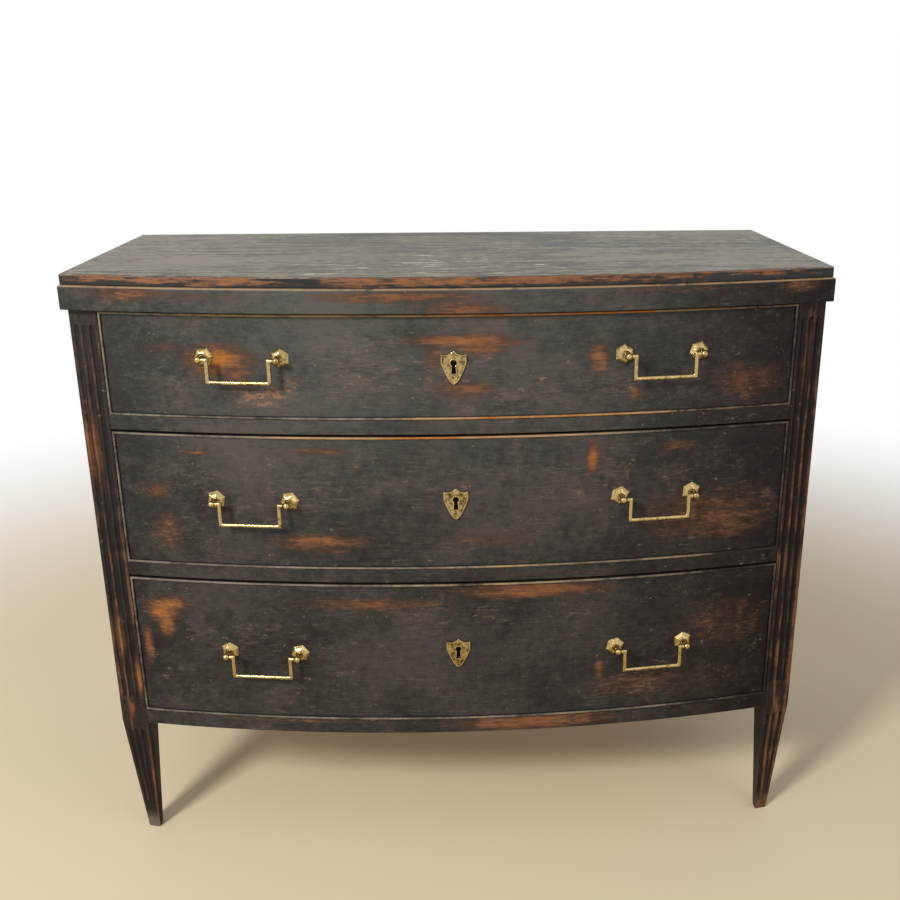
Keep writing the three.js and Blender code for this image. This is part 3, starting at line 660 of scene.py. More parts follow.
def post_rows(flutes):
    """Heights of a post's rings, closer together in the round ends of its flutes."""
    (leg_low, leg_high), (post_low, post_high) = flute_ends(flutes)
    turns = np.sin(np.radians(np.linspace(0, 84, 8)))
    small = flutes.leg_end_width / 2
    wide = flutes.width / 2
    return np.unique(np.concatenate([
        np.linspace(0.002, leg_low - 1.2 * small, 6), leg_low - small * turns,
        np.linspace(leg_low, leg_high, 34), leg_high + wide * turns,
        np.linspace(LEG_TOP, post_low - 1.3 * wide, 8), post_low - wide * turns,
        np.linspace(post_low, post_high, 90), post_high + wide * turns,
        np.linspace(post_high + 1.3 * wide, POST_TOP, 4)]))


def front_post(side, case, flutes, bow, material):
    """Front post and leg in one, with stopped flutes.

    Each ring has four corners rounded by quadratic curves. A flute's section is an arc of a circle.
    Past a flute's ends the circle is that of a ball, so its depth is the root of the squared radius
    less the squares of the way across and the way past the end, less what stands in front of the face.
    """
    post_width = HALF_WIDTH - OPENING_HALF
    inner_front = float(bow.y(OPENING_HALF))
    slope = (float(bow.y(HALF_WIDTH)) - inner_front) / post_width
    slant = math.hypot(1, slope)
    rows = np.concatenate([[0, case.toe_chamfer], post_rows(flutes)])
    taper = np.clip(rows / LEG_TOP, 0, 1)
    width = case.foot_width + (post_width - case.foot_width) * taper
    depth = case.foot_depth + (case.post_depth + slope * post_width - case.foot_depth) * taper
    width[0] -= case.toe_chamfer
    depth[0] -= case.toe_chamfer
    outer = OPENING_HALF + width
    back = inner_front + depth
    corners = np.stack([
        places(OPENING_HALF, inner_front, rows), places(outer, inner_front + slope * width, rows),
        places(outer, back, rows), places(OPENING_HALF, back, rows)], axis=1)

    def towards(step):
        """Directions from the corners to their neighbours a step away."""
        way = np.roll(corners, step, axis=1) - corners
        return (way / np.linalg.norm(way, axis=-1, keepdims=True))[:, :, None, :]

    share = np.linspace(0, 1, 5)[None, None, :, None]
    rounds = corners[:, :, None, :] + case.edge_round * (
        np.square(1 - share) * towards(1) + np.square(share) * towards(-1))

    def between(first, second, *shares):
        """Points at shares of the way from one rounded corner to the next."""
        start, end = rounds[:, first, -1:], rounds[:, second, :1]
        return start + (end - start) * np.array(shares)[None, :, None]

    leg, post = flute_ends(flutes)
    in_leg = rows < LEG_TOP
    upper_width = flutes.width * np.interp(leg[1], (0, LEG_TOP), (case.foot_width / post_width, 1))
    wide = np.where(in_leg, np.interp(rows, leg, (flutes.leg_end_width, upper_width)), flutes.width)
    deep = np.where(in_leg, np.interp(rows, leg, (flutes.leg_end_depth, flutes.depth)), flutes.depth)
    starts, ends = (np.where(in_leg, *pair) for pair in zip(leg, post))
    past = np.maximum(0, np.maximum(starts - rows, rows - ends))
    radius = (np.square(wide) / 4 + np.square(deep)) / (2 * deep)
    fluted = past < wide / 2
    reach = np.where(fluted, np.sqrt(np.maximum(np.square(wide / 2) - np.square(past), 0)), wide / 2)
    spread = np.linspace(-1, 1, FLUTE_POINTS)[None, :]
    across = spread * reach[:, None]
    sunk = np.sqrt(np.maximum(np.square(radius) - np.square(past), 0)[:, None] - np.square(across))
    sunk = np.where(fluted[:, None], np.maximum(sunk - (radius - deep)[:, None], 0), 0)
    sunk = np.tile(sunk, flutes.count)
    offsets = (np.arange(flutes.count) - (flutes.count - 1) / 2) * flutes.pitch / post_width
    along = np.hstack([width[:, None] * (slant / 2 + offset) + across for offset in offsets])
    face = corners[:, :1] + (
        along[..., None] * (1, slope, 0) + sunk[..., None] * (-slope, 1, 0)) / slant
    ridges = np.tile(spread ** 6 + 0 * across, flutes.count)
    # Each part of the rings, with how far it stands out to be rubbed and how much painted shade it
    # takes:
    # most on the inner side, the back and in the flutes, away from the light
    parts = [
        (rounds[:, 0], 1.0, 0.0), (face, ridges, GROOVE_SHADE[side] * sunk / flutes.depth),
        (rounds[:, 1], 1.0, 0.0), (between(1, 2, 0.08, 0.2, 0.5, 0.8), 0.1, 0.2),
        (rounds[:, 2], 0.7, 0.3), (between(2, 3, 0.5), 0.0, 0.6),
        (rounds[:, 3], 0.5, 0.8), (between(3, 0, 0.2, 0.5, 0.8, 0.94), 0.1, 1.0)]
    rings = np.concatenate([part for part, _, _ in parts], axis=1) * (SIDES[side], 1, 1)
    edge, grime = (
        np.concatenate([np.broadcast_to(values[way], values[0].shape[:2]) for values in parts], axis=1)
        for way in (1, 2))
    solid = stacked_rings(rings)
    x, y, z = solid[0].T
    behind = np.maximum(y - inner_front - slope * post_width, 0)
    rub = rubbed(x, z, POST_SPOTS) * softened(behind, WEAR_AND_HIGHLIGHT_REACH["post"])
    fields = {"edge": edge, "grime": grime, "rub": rub}
    name = "front_post_" + side
    make_piece(name + "_fluted", name, "carcass", material, solid, fields)


def keyhole(brass, grow):
    """Keyhole outline in the face plane: a round head over a slot that widens downwards."""
    radius = brass.key_radius + grow
    foot = brass.key_slot_foot / 2 + grow
    turn = math.asin((brass.key_slot_top / 2 + grow) / radius)
    angles = np.linspace(turn - math.pi / 2, 1.5 * math.pi - turn, 60)
    head = np.stack([radius * np.cos(angles), brass.key_rise + radius * np.sin(angles)], axis=-1)
    bottom = brass.key_rise - brass.key_slot_reach - grow
    share = np.linspace(0, 1, 24)[1:, None]
    sides = [
        head[-1] + share * ((-foot, bottom) - head[-1]),
        (-foot, bottom) + share * (2 * foot, 0),
        (foot, bottom) + share[:-1] * (head[0] - (foot, bottom))]
    return np.concatenate([head, *sides])


def drawer_front(drawer, drawers, brass, bow, material):
    """Bowed drawer front, rebated for the bead, cut for the keyhole, lock and bolt.

    The face and the back are grids on two circles in plan, joined through the step of the rebate.
    """
    node = drawer + "_drawer_front"
    half, _, bottom, top = span(node)
    middle = (bottom + top) / 2
    tall = (top - bottom) / 2
    across, share = np.meshgrid(np.linspace(-1, 1, 221), np.linspace(-1, 1, 51))
    seam = drawers.seam
    inset = drawers.bead_width + seam
    step = drawers.bead_depth + seam

    def layer(deep, shrink):
        x = across * (half - shrink)
        return places(x, bow.y(x, -deep), middle + share * (tall - shrink))

    rings = [layer(step, inset), layer(step, 0), layer(drawers.thickness - seam, 0)]
    solid = board(layer(0, inset), rings, layer(drawers.thickness, 0))
    x, _, z = solid[0].T
    fields = {
        "rub": rubbed(x, z, DRAWER_SPOTS[drawer]), "chips": rubbed(x, z, DRAWER_CHIPS[drawer]),
        "bare": np.arange(len(x)) >= len(x) - across.size}
    piece = make_piece(
        drawer + "_drawer_face", node, drawer + "_drawer", material, solid, fields)
    room = drawers.bead_width
    back = float(bow.y(0, -drawers.thickness)) + room
    bolt = drawer + "_lock_bolt"
    carve(
        piece,
        cutter_prism(drawer + "_keyway", keyhole(brass, 0) + (0, middle), FRONT_APEX - room, back),
        cutter_about(drawer + "_lock_pocket", drawer + "_lock_case", seam, back=back),
        cutter_about(drawer + "_bolt_way", bolt, seam, back=back, bottom=low(bolt).z, top=top + room))


def cockbead(drawer, drawers, bow, material):
    """Round-nosed bead carried round the four edges of a drawer's front with mitred corners.

    Each point of the section runs round a rectangle smaller by its way across, at its own depth.
    """
    half, _, bottom, top = span(drawer + "_drawer_front")
    width = drawers.bead_width
    back = drawers.bead_depth
    turns = np.radians(np.linspace(0, 180, 9))
    across = np.concatenate([[0], width / 2 * (1 - np.cos(turns)), [width]])
    deep = np.concatenate([[back], width / 2 * (1 - np.sin(turns)) - drawers.bead_proud, [back]])
    runs = np.linspace(-1, 1, 161)[:-1]
    rises = np.linspace(-1, 1, 33)[:-1]
    along = np.concatenate([runs, 0 * rises + 1, -runs, 0 * rises - 1])[:, None]
    up = np.concatenate([0 * runs - 1, rises, 0 * runs + 1, -rises])[:, None]
    x = along * (half - across)
    z = (bottom + top) / 2 + up * ((top - bottom) / 2 - across)
    solid = closed_loops(places(x, bow.y(x, -deep), z))
    # The nose's line: partly light wear, partly a painted highlight along the bead's nose
    nose = softened(np.broadcast_to(deep + drawers.bead_proud, x.shape), WEAR_AND_HIGHLIGHT_REACH["bead"])
    worn = sum(
        strength * softened(x - place, reach) * (edge * up > 0.99)
        for place, edge, reach, strength in BEAD_SPOTS[drawer])
    make_piece(
        drawer + "_bead", drawer + "_cockbead", drawer + "_drawer", material, solid,
        {"edge": nose, "rub": worn})


# Height of an escutcheon's waist over its middle, as a share of its height
SHIELD_WAIST = 0.14
# How full its sides are below the waist: straight at 1, fuller below that
SHIELD_FULLNESS = 0.62


def shield(brass, inset):
    """Shield outline in the face plane: sides drawn to a tip, two hollow top edges and a peak.

    The half width grows from the tip to the waist as a power of the way up. Each top edge rises to the
    peak with the square of the way along, less a parabola.
    """
    half = brass.shield_width / 2 - inset
    peak = brass.shield_height / 2 - inset
    shoulder = peak - brass.shoulder_drop
    waist = SHIELD_WAIST * brass.shield_height
    share = np.linspace(0, 1, 60)
    side = np.stack([half * share ** SHIELD_FULLNESS, (waist + peak) * share - peak], axis=-1)
    upright = np.stack([0 * share[:20] + half, np.linspace(waist, shoulder, 21)[1:]], axis=-1)
    dip = 4 * brass.shield_dip * share * (1 - share)
    edge = np.stack([half * (1 - share), shoulder + (peak - shoulder) * share ** 2 - dip], axis=-1)
    right = np.concatenate([side, upright, edge[1:]])
    return np.concatenate([right, right[-2:0:-1] * (-1, 1)])


def polar_reach(outline, centre, angles):
    """Distance from a centre to an outline at each angle."""
    x, z = (outline - centre).T
    return np.interp(angles, np.arctan2(z, x), np.hypot(x, z), period=2 * math.pi)


def escutcheon(drawer, drawers, brass, material):
    """Shield with a raised rim, a raised ring round its keyhole and a slightly swollen field.

    Every ring is a distance from one centre at the same angles: first the shield's outline, then a
    mix of both outlines across the field, then the keyhole's, and back through the hole.
    """
    _, _, bottom, top = span(drawer + "_escutcheon")
    neck = brass.key_rise - math.sqrt(brass.key_radius ** 2 - brass.key_slot_top ** 2 / 4)
    centre = np.array([0, neck + drawers.seam / 3])
    half = brass.shield_width / 2
    tall = brass.shield_height / 2
    foot = brass.key_slot_foot / 2
    corners = np.array([(0, tall), (0, -tall)] + [
        (sign * x, z) for sign in (1, -1) for x, z in (
            (half, tall - brass.shoulder_drop), (foot, brass.key_rise - brass.key_slot_reach))])
    across, up = (corners - centre).T
    even = np.linspace(-math.pi, math.pi, 145)[:-1]
    angles = np.unique(np.concatenate([even, np.arctan2(up, across)]))
    thick = brass.shield_thickness
    field = thick - brass.shield_proud
    rim = brass.shield_rim
    ring = brass.key_rim
    soft = rim / 6
    low_side = thick - 2 * soft
    shoulder = thick - soft / 2
    rows = [
        (polar_reach(shield(brass, inset), centre, angles), height) for inset, height in (
            (0, 0), (0, low_side), (soft / 2, shoulder), (1.5 * soft, thick),
            (rim - 1.5 * soft, thick), (rim - soft / 2, shoulder), (rim, field))]
    outer = rows[-1][0]
    inner = polar_reach(keyhole(brass, ring), centre, angles)
    rows += [
        (outer + (inner - outer) * share, field + soft * math.sin(math.pi * share))
        for share in np.linspace(0, 1, 14)[1:-1]]
    rows += [
        (polar_reach(keyhole(brass, grow), centre, angles), height) for grow, height in (
            (ring, field), (ring - soft / 2, shoulder), (ring - 1.5 * soft, thick),
            (1.2 * soft, thick), (soft / 2, shoulder), (0, low_side), (0, 0))]
    reach = np.stack([row for row, _ in rows])
    height = np.array([lift for _, lift in rows])[:, None]
    loops = places(
        centre[0] + reach * np.cos(angles), FRONT_APEX - drawers.seam - height,
        (bottom + top) / 2 + centre[1] + reach * np.sin(angles))
    raised = np.broadcast_to(0.3 + 0.7 * softened(thick - height, soft), reach.shape)
    make_piece(
        drawer + "_shield", drawer + "_escutcheon", drawer + "_drawer", material,
        closed_loops(loops), {"edge": raised})


# How far each rosette is turned on its shank, in degrees, from the left end of a drawer to its right
ROSETTE_TURNS = {"upper": (4, 26, 31, 12), "middle": (18, 8, 22, 28), "lower": (28, 10, 16, 34)}
# Radii of a rosette's rim and of the darkest ring in its hollow, patina and painted shade, as shares of
# its own
ROSETTE_RIM = 0.42
ROSETTE_DARK = 0.36
# How far a rosette swells over a straight slope, as a share of its height
ROSETTE_SWELL = 0.16
# Angle, in radians, by which a ball ends short of its pole in a small flat
BALL_FLAT = 0.12


def rosette_points(drawers, brass, turn):
    """Six-sided cast rosette with its shank, nut, hollow, neck and ball, about its own -Y axis.

    A ring's reach mixes a circle with a hexagon, whose reach is that of its flats over the cosine of
    the way from the middle of a side. The mix fades to a circle at the rim of the hollow.
    """
    angles = np.linspace(0, 2 * math.pi, 72, endpoint=False)
    sector = math.pi / 3
    hexagon = math.cos(sector / 2) / np.cos(np.mod(angles, sector) - sector / 2)
    edge = brass.rosette_radius
    base = brass.rosette_base
    tall = brass.rosette_height
    floor = tall - brass.rosette_hollow
    rim = ROSETTE_RIM * edge
    soft = base / 5
    neck = brass.neck_radius
    ball = brass.ball_radius
    shank = 0.8 * neck
    nut = 2 * neck
    nut_face = -drawers.thickness - drawers.seam
    profile = [
        (nut, nut_face - neck, 1), (nut, nut_face, 1), (shank, nut_face, 0),
        (shank, drawers.seam, 0), (edge - soft, drawers.seam, 1), (edge, 2 * soft, 1),
        (edge, base - soft, 1)]
    profile += [
        (edge + (rim - edge) * share - soft * (1 - share),
         base + (tall - base) * (share + ROSETTE_SWELL * math.sin(math.pi * share)), 1 - share ** 3)
        for share in np.linspace(0, 1, 10)]
    profile += [
        (rim - soft, tall + soft / 2, 0), (rim - 3 * soft, tall - soft, 0),
        (rim - 4.5 * soft, floor, 0), (neck, floor, 0)]
    profile += [
        (ball * math.sin(rise), brass.ball_stand - ball * math.cos(rise), 0)
        for rise in np.linspace(math.asin(neck / ball), math.pi - BALL_FLAT, 15)]
    radius, height, mix = np.array(profile).T[:, :, None]
    reach = radius * (1 + mix * (hexagon - 1))
    return places(reach * np.cos(angles + turn), -height, reach * np.sin(angles + turn))


def bail_points(drawers, brass):
    """Square-bent bail in its own frame, its pins on the X axis and its grip below.

    A ring's points lie on lines at their own offsets from the middle line. At a bend each line has a
    small round of the same radius, so the rod looks mitred and its corners stay crisp.
    """
    around = np.linspace(0, 2 * math.pi, 28, endpoint=False)
    arm = brass.arm_spacing / 2
    drop = brass.bail_drop
    rod = brass.rod_radius
    pin = brass.pin_radius
    collar = brass.collar_radius
    start = brass.post_spacing / 2 - brass.ball_radius - drawers.seam
    soft = rod / 9
    pins = np.array([
        (-brass.post_spacing / 2 - rod / 3, pin), (-start, pin), (-start, collar - soft),
        (soft - start, collar), (-arm - rod - soft, collar), (-arm - rod, rod)])
    x, radius = pins.T[:, :, None]
    rings = places(x, -radius * np.sin(around), radius * np.cos(around))
    turns = np.radians(np.linspace(0, 90, 5))
    bends = list(zip(rod / 3 * (1 - np.sin(turns)), rod / 3 * (1 - np.cos(turns))))
    # Each row says how far the offset and the middle line move a ring's points in x, then in z
    path = [(1, -arm - before, 1, -after) for before, after in bends]
    path += [(1, -arm, 0, z) for z in np.linspace(0, -drop, 8)[1:-1]]
    path += [(1, after - arm, 1, before - drop) for before, after in bends]
    path += [(0, x, 1, -drop) for x in np.linspace(-arm, 0, 8)[1:-1]]
    lean, x, tilt, z = np.array(path).T[:, :, None]
    offset = rod * np.cos(around)
    rod_rings = places(lean * offset + x, -rod * np.sin(around), tilt * offset + z)
    half = np.concatenate([rings, rod_rings])
    return np.concatenate([half, half[::-1] * (-1, 1, 1)])


def handles(drawer, drawers, brass, bow, material):
    """Both handles of a drawer: each bail on the chord between its balls, the rosettes on the face."""
    rise = joint(drawer + "_left_bail_swing")["pos_m"][2]
    spread = math.asin(brass.post_spacing / 2 / (bow.radius + brass.ball_stand))
    chord = (bow.radius + brass.ball_stand) * math.cos(spread) - bow.radius
    half = span(drawer + "_drawer_front")[0]
    turns = iter(ROSETTE_TURNS[drawer])
    rod = brass.rod_radius
    dark = ROSETTE_DARK * brass.rosette_radius
    for side, sign in SIDES.items():
        angle = sign * math.asin((half - brass.handle_inset) / bow.radius)
        name = f"{drawer}_{side}"
        shape = bail_points(drawers, brass)
        # Painted shade and dark reflection: the grip's underside and the rod's back, towards the drawer,
        # turn dull olive
        under = softened(shape[..., 2] + brass.bail_drop + rod, rod)
        behind = softened(shape[..., 1] - rod, rod / 2)
        make_piece(
            name + "_grip", name + "_bail", name + "_bail", material,
            stacked_rings(bow.seat(shape, angle, chord, rise)),
            {"edge": 0.9 - 0.8 * np.maximum(under, behind)})
        for end, way in SIDES.items():
            shape = rosette_points(drawers, brass, next(turns) * DEGREE)
            x, y, z = np.moveaxis(shape, -1, 0)
            # The ring round the ball's neck is dark: patina, and painted shade in the hollow
            hollow = softened(np.hypot(x, z) - dark, dark / 4) * (-y < brass.rosette_height)
            fitting = f"{name}_rosette_{end}"
            make_piece(
                fitting + "_cast", fitting, drawer + "_drawer", material,
                stacked_rings(bow.seat(shape, angle + way * spread, 0, rise)),
                {"edge": 0.85 - 0.85 * hollow}, 20 * DEGREE)


class Value:
    """One number of a node tree. Arithmetic on it adds the tree's Math nodes."""

    def __init__(self, tree, socket):
        self.tree = tree
        self.socket = socket

    def beside(self, name):
        """Another output of the same node."""
        return Value(self.tree, self.socket.node.outputs[name])

    def math(self, operation, *values):
        """A Math node on numbers."""
        return self.tree.node("ShaderNodeMath", {"operation": operation}, dict(enumerate(values)))

    def __add__(self, other):
        return self.math("ADD", self, other)

    def __sub__(self, other):
        return self.math("SUBTRACT", self, other)

    def __rsub__(self, other):
        return self.math("SUBTRACT", other, self)

    def __mul__(self, other):
        return self.math("MULTIPLY", self, other)

    def __abs__(self):
        return self.math("ABSOLUTE", self)

    __radd__ = __add__
    __rmul__ = __mul__

    def at_most(self, other):
        return self.math("MINIMUM", self, other)

    def at_least(self, other):
        return self.math("MAXIMUM", self, other)

    def step(self, start, end):
        """Smooth step from 0 at start to 1 at end."""
        return self.tree.node(
            "ShaderNodeMapRange", {"interpolation_type": "SMOOTHSTEP"},
            {"Value": self, "From Min": start, "From Max": end})


class Tree:
    """A node tree and the one method that adds nodes to it."""

    def __init__(self, tree):
        self.nodes = tree.nodes
        self.links = tree.links

    def node(self, kind, settings, inputs, output=0):
        """A node of a type, with its settings, then the values or links of its sockets."""
        made = self.nodes.new(kind)
        for key, value in settings.items():
            setattr(made, key, value)
        for key, value in inputs.items():
            self.feed(made.inputs[key], value)
        return Value(self, made.outputs[output])

    def feed(self, socket, value):
        """Links a socket of the tree to another, or sets it to a plain value."""
        if isinstance(value, Value):
            self.links.new(value.socket, socket)
        elif hasattr(value, "__len__"):
            socket.default_value = (*value, 1)[:len(socket.default_value)]
        else:
            socket.default_value = value

    def sees_white(self):
        """One for the rays that see the white background: from the camera, off metal, through glass."""
        ray = self.node("ShaderNodeLightPath", {}, {}, "Is Camera Ray")
        return ray.at_least(ray.beside("Is Glossy Ray")).at_least(ray.beside("Is Transmission Ray"))

    def mixed(self, factor, first, second):
        """A shader that goes from the first to the second."""
        return self.node("ShaderNodeMixShader", {}, {0: factor, 1: first, 2: second})


class Finish(Tree):
    """Node tree of one material, with the few steps that the finishes share."""

    def __init__(self, name, along="x"):
        self.material = bpy.data.materials.new(name)
        self.material.use_nodes = True
        super().__init__(self.material.node_tree)
        self.shader = self.nodes["Principled BSDF"]
        self.place = self.node("ShaderNodeTexCoord", {}, {}, "Object")
        self.along = along

    def grain(self, slow, fast):
        """Features to a metre along each axis: few along the grain and many across it."""
        return [slow if axis == self.along else fast for axis in "xyz"]

    def scaled(self, stretch):
        """Object coordinates stretched along the axes."""
        return self.node(
            "ShaderNodeVectorMath", {"operation": "MULTIPLY"}, {0: self.place, 1: stretch})

    def axis(self, name):
        """One of the object coordinates."""
        return self.node("ShaderNodeSeparateXYZ", {}, {0: self.place}, name)

    def noise(self, stretch, detail=3.0, roughness=0.55, distortion=0.0):
        """Noise from 0 to 1, with so many features to a metre along each axis."""
        return self.node(
            "ShaderNodeTexNoise", {}, {
                "Vector": self.scaled(stretch), "Scale": 1, "Detail": detail,
                "Roughness": roughness, "Distortion": distortion})

    def cells(self, stretch):
        """Distance to the nearest of scattered points."""
        return self.node("ShaderNodeTexVoronoi", {}, {"Vector": self.scaled(stretch), "Scale": 1})

    def field(self, name):
        """A number that the mesh holds at its points."""
        return self.node("ShaderNodeAttribute", {"attribute_name": name}, {}, "Fac")

    def blend(self, factor, first, second):
        """Colour that goes from the first to the second."""
        return self.node(
            "ShaderNodeMix", {"data_type": "RGBA"}, {0: factor, 6: first, 7: second}, 2)

    def coats(self, paint, *layers):
        """A colour with others over it, each as strong as its factor."""
        for factor, colour in layers:
            paint = self.blend(factor, paint, colour)
        return paint

    def finish(self, colour, roughness, bump, depth, **constants):
        """Feeds the shader: what varies is linked and what is constant is set."""
        normal = self.node(
            "ShaderNodeBump", {}, {"Strength": 1.0, "Distance": depth, "Height": bump})
        fed = {"Base Color": colour, "Roughness": roughness, "Normal": normal, **constants}
        for key, value in fed.items():
            self.feed(self.shader.inputs[key.replace("_", " ")], value)
        return self.material


WHITE = (1, 1, 1)
# Specular level of dull, waxed old paint
PAINT_SHEEN = 0.14
# Place in plan and radius of a faint ring on the top board
RING_PLACE = (0.035, -0.085)
RING_RADIUS = 0.017
# Distances from the middle of the floor between which it fades to white
FLOOR_FADE = (0.9, 2.6)
# Radii of the rings of the floor's mesh
FLOOR_RINGS = (0.5, 2, 6, 20)
# Name, place, size and tint of each lamp, and the place that they are turned to
LAMPS = [
    ("key", (-2.2, -2.9, 2.7), 0.8, (1.0, 0.98, 0.95)),
    ("fill", (2.4, -2.8, 2.0), 2.0, (0.95, 0.97, 1.0)),
]
LAMP_TARGET = (0, 0, 0.5)
# Width of the camera's sensor in millimetres
SENSOR_WIDTH = 36


def uneven(*shares):
    """Sum of noises, each taken about its middle and weighted."""
    first, *others = ((noise - 0.5) * weight for noise, weight in shares)
    return sum(others, first)


def worn_paint(name, colours, along):
    """Black paint over orange-brown wood, brushed along one axis and rubbed through in places.

    Brown shows as a haze where the mesh's rub field, roughened by strokes, passes a low threshold, then
    tan and orange wood where it passes higher ones. The edge field puts a thin tan line on edges, partly
    rubbed paint and partly a painted highlight, or bares ridges in long streaks. The chips field scuffs
    the paint and chips it, a field of painted shade darkens it, and the bare field leaves it off. The
    paint is lighter at the left and darker at the right, at both ends and low down: partly its own tone,
    partly painted light and shade, with a painted sheen left of the middle, high up.
    """
    f = Finish(name, along)
    upright = along == "z"
    cloud = f.noise((5, 5, 6), 5, 0.6)
    patch = f.noise((14, 14, 17), 5, 0.66, 0.5)
    mottle = f.noise((85, 85, 100), 7, 0.75)
    streak = f.noise(f.grain(9, 130), 6, 0.66, 0.4)
    stroke = f.noise(f.grain(34, 380), 4, 0.6, 0.3)
    x = f.axis("X")
    z = f.axis("Z")
    low_down = 1 - z.step(0.42, 0.84)
    # Share of the warm paint, rising to the right: partly its own tone, partly painted shade on the side
    # away from the light
    side = (x + (cloud - 0.5) * 0.3).step(0.1, 0.5)
    tone = cloud * 0.42 + patch * 0.24 + streak * 0.12 + mottle * 0.36 + (stroke - 0.5) * 0.22
    # Painted sheen: the paint is lighter in a band left of the middle, high up
    faded_and_sheen = (1 - abs(x + 0.17).step(0.0, 0.2)) * (1 - low_down) * 0.09
    # Painted shade: the paint darkens towards both ends of the bow, which turn away from the light
    ends = (abs(x) - 0.3).step(0, 0.22) * 0.07
    tone = (tone + faded_and_sheen - ends).step(0.4, 0.74)
    warm = f.blend(tone, colours.warm_dark_shaded, colours.warm_light_shaded)
    browned = (patch * 0.45 + cloud * 0.55 + (mottle - 0.5) * 0.5).step(0.47, 0.62)
    # The warm paint also comes in low down: partly its own tone, partly painted shade towards the bottom
    paint = f.coats(
        f.blend(tone, colours.cool_dark_lit, colours.cool_light_lit),
        (1 - (1 - side) * (1 - low_down * 0.62), warm),
        (browned * (0.52 - low_down * 0.3) * (1 - side), colours.faded_and_sheen))
    if upright:
        dark = 0.46 + streak * 0.3 + (1 - z.step(0.1, 0.3)) * 0.3
        paint = f.blend(dark, paint, f.blend(stroke, colours.warm_dark_shaded, colours.warm_light_shaded))

    rub = f.field("rub")
    edge = f.field("edge")
    ragged = uneven((stroke, 1.7), (streak, 1.3), (mottle, 1.3), (patch, 0.8))
    worn = (rub + ragged * 0.7 - 0.06) * rub.step(0.02, 0.25)
    if upright:
        long = f.noise((75, 75, 4.5), 4, 0.6)
        ridge = edge * 0.34 + uneven((long, 2.6), (patch, 1.4)) + low_down * 0.14 + ragged * 0.4
        worn = worn.at_least(ridge.at_most(0.9) - 0.26)
    haze = worn.step(0.04, 0.5)
    core = worn.step(0.7, 1.25)
    under = f.blend(cloud.step(0.5, 0.58) * 0.7, colours.wood_brown, colours.wood_red)
    paint = f.coats(
        paint, (rub.step(0.06, 0.6) * 0.4, under), (haze * 0.62, under),
        (worn.step(0.3, 0.8) * (0.45 + stroke * 0.6), colours.wood_tan), (core, colours.wood_orange))
    if not upright:
        # A thin tan line on the edges: rubbed paint, and on the frieze's round partly a painted
        # highlight
        line = edge.step(0.86, 1.0) * (patch + (mottle - 0.5) * 0.4).step(0.28, 0.5)
        paint = f.blend(line * 0.75, paint, colours.edge_tan)

    fine = f.noise((240, 240, 300), 5, 0.68)
    blot = f.noise((60, 60, 100), 5, 0.7, 0.3)
    chips = f.field("chips")
    thin = chips.at_most(1)
    scuffed = thin * 0.5 + uneven((patch, 1.2), (blot, 1.4), (stroke, 1.8))
    dashes = f.noise(f.grain(70, 300), 4, 0.62, 0.6) + (blot - 0.5) * 0.5 + thin * 0.08
    flakes = dashes.step(0.69, 0.74) * thin.step(0.0, 0.3)
    flakes = flakes.at_least((fine + blot * 0.7 + thin * 0.06).step(1.04, 1.1))
    flakes = flakes.at_least((blot + (fine - 0.5) * 0.7 + thin * 0.05).step(0.69, 0.73))
    deep = (blot + (fine - 0.5) * 0.5 + (chips - 1) * 0.05).step(0.52, 0.55)
    deep = deep * (chips - 1).step(0.02, 0.3)
    marks = 1 - f.cells((230, 230, 110)).step(0.06, 0.17)
    marks = marks * (f.noise((20, 20, 20), 3) + thin * 0.06).step(0.55, 0.66)
    nicks = (1 - f.cells((50, 80, 420)).step(0.05, 0.13)) * streak.step(0.54, 0.64)
    paint = f.coats(
        paint, (scuffed.step(0.2, 0.7) * 0.42, colours.scuffed), (flakes * 0.55, colours.chip),
        (deep * 0.85, f.blend(mottle, colours.scuffed, colours.bitten)),
        (marks.at_least(nicks) * 0.4, colours.speck))
    if upright:
        foot = (1 - z.step(0.004, 0.034)) * (0.25 + blot)
        paint = f.blend(foot * 0.75, paint, f.blend(side, colours.edge_grey, colours.wood_tan))
    bare = f.field("bare")
    inner = f.blend(streak.step(0.35, 0.65), colours.inner_wood, colours.inner_dark)
    # Painted shade: the field darkens the posts' sides, backs and flutes to the darkest warm paint
    paint = f.coats(paint, (f.field("grime") * 0.94, colours.warm_dark_shaded), (bare, inner))
    rough = 0.44 + (mottle - 0.5) * 0.35 + haze.at_least(bare) * 0.2
    height = stroke * 0.2 + streak * 0.2 + mottle * 0.4 - core * 0.5 - flakes * 0.6 - marks * 0.3 - deep
    return f.finish(paint, rough, height, depth=0.0003, Specular_IOR_Level=PAINT_SHEEN)


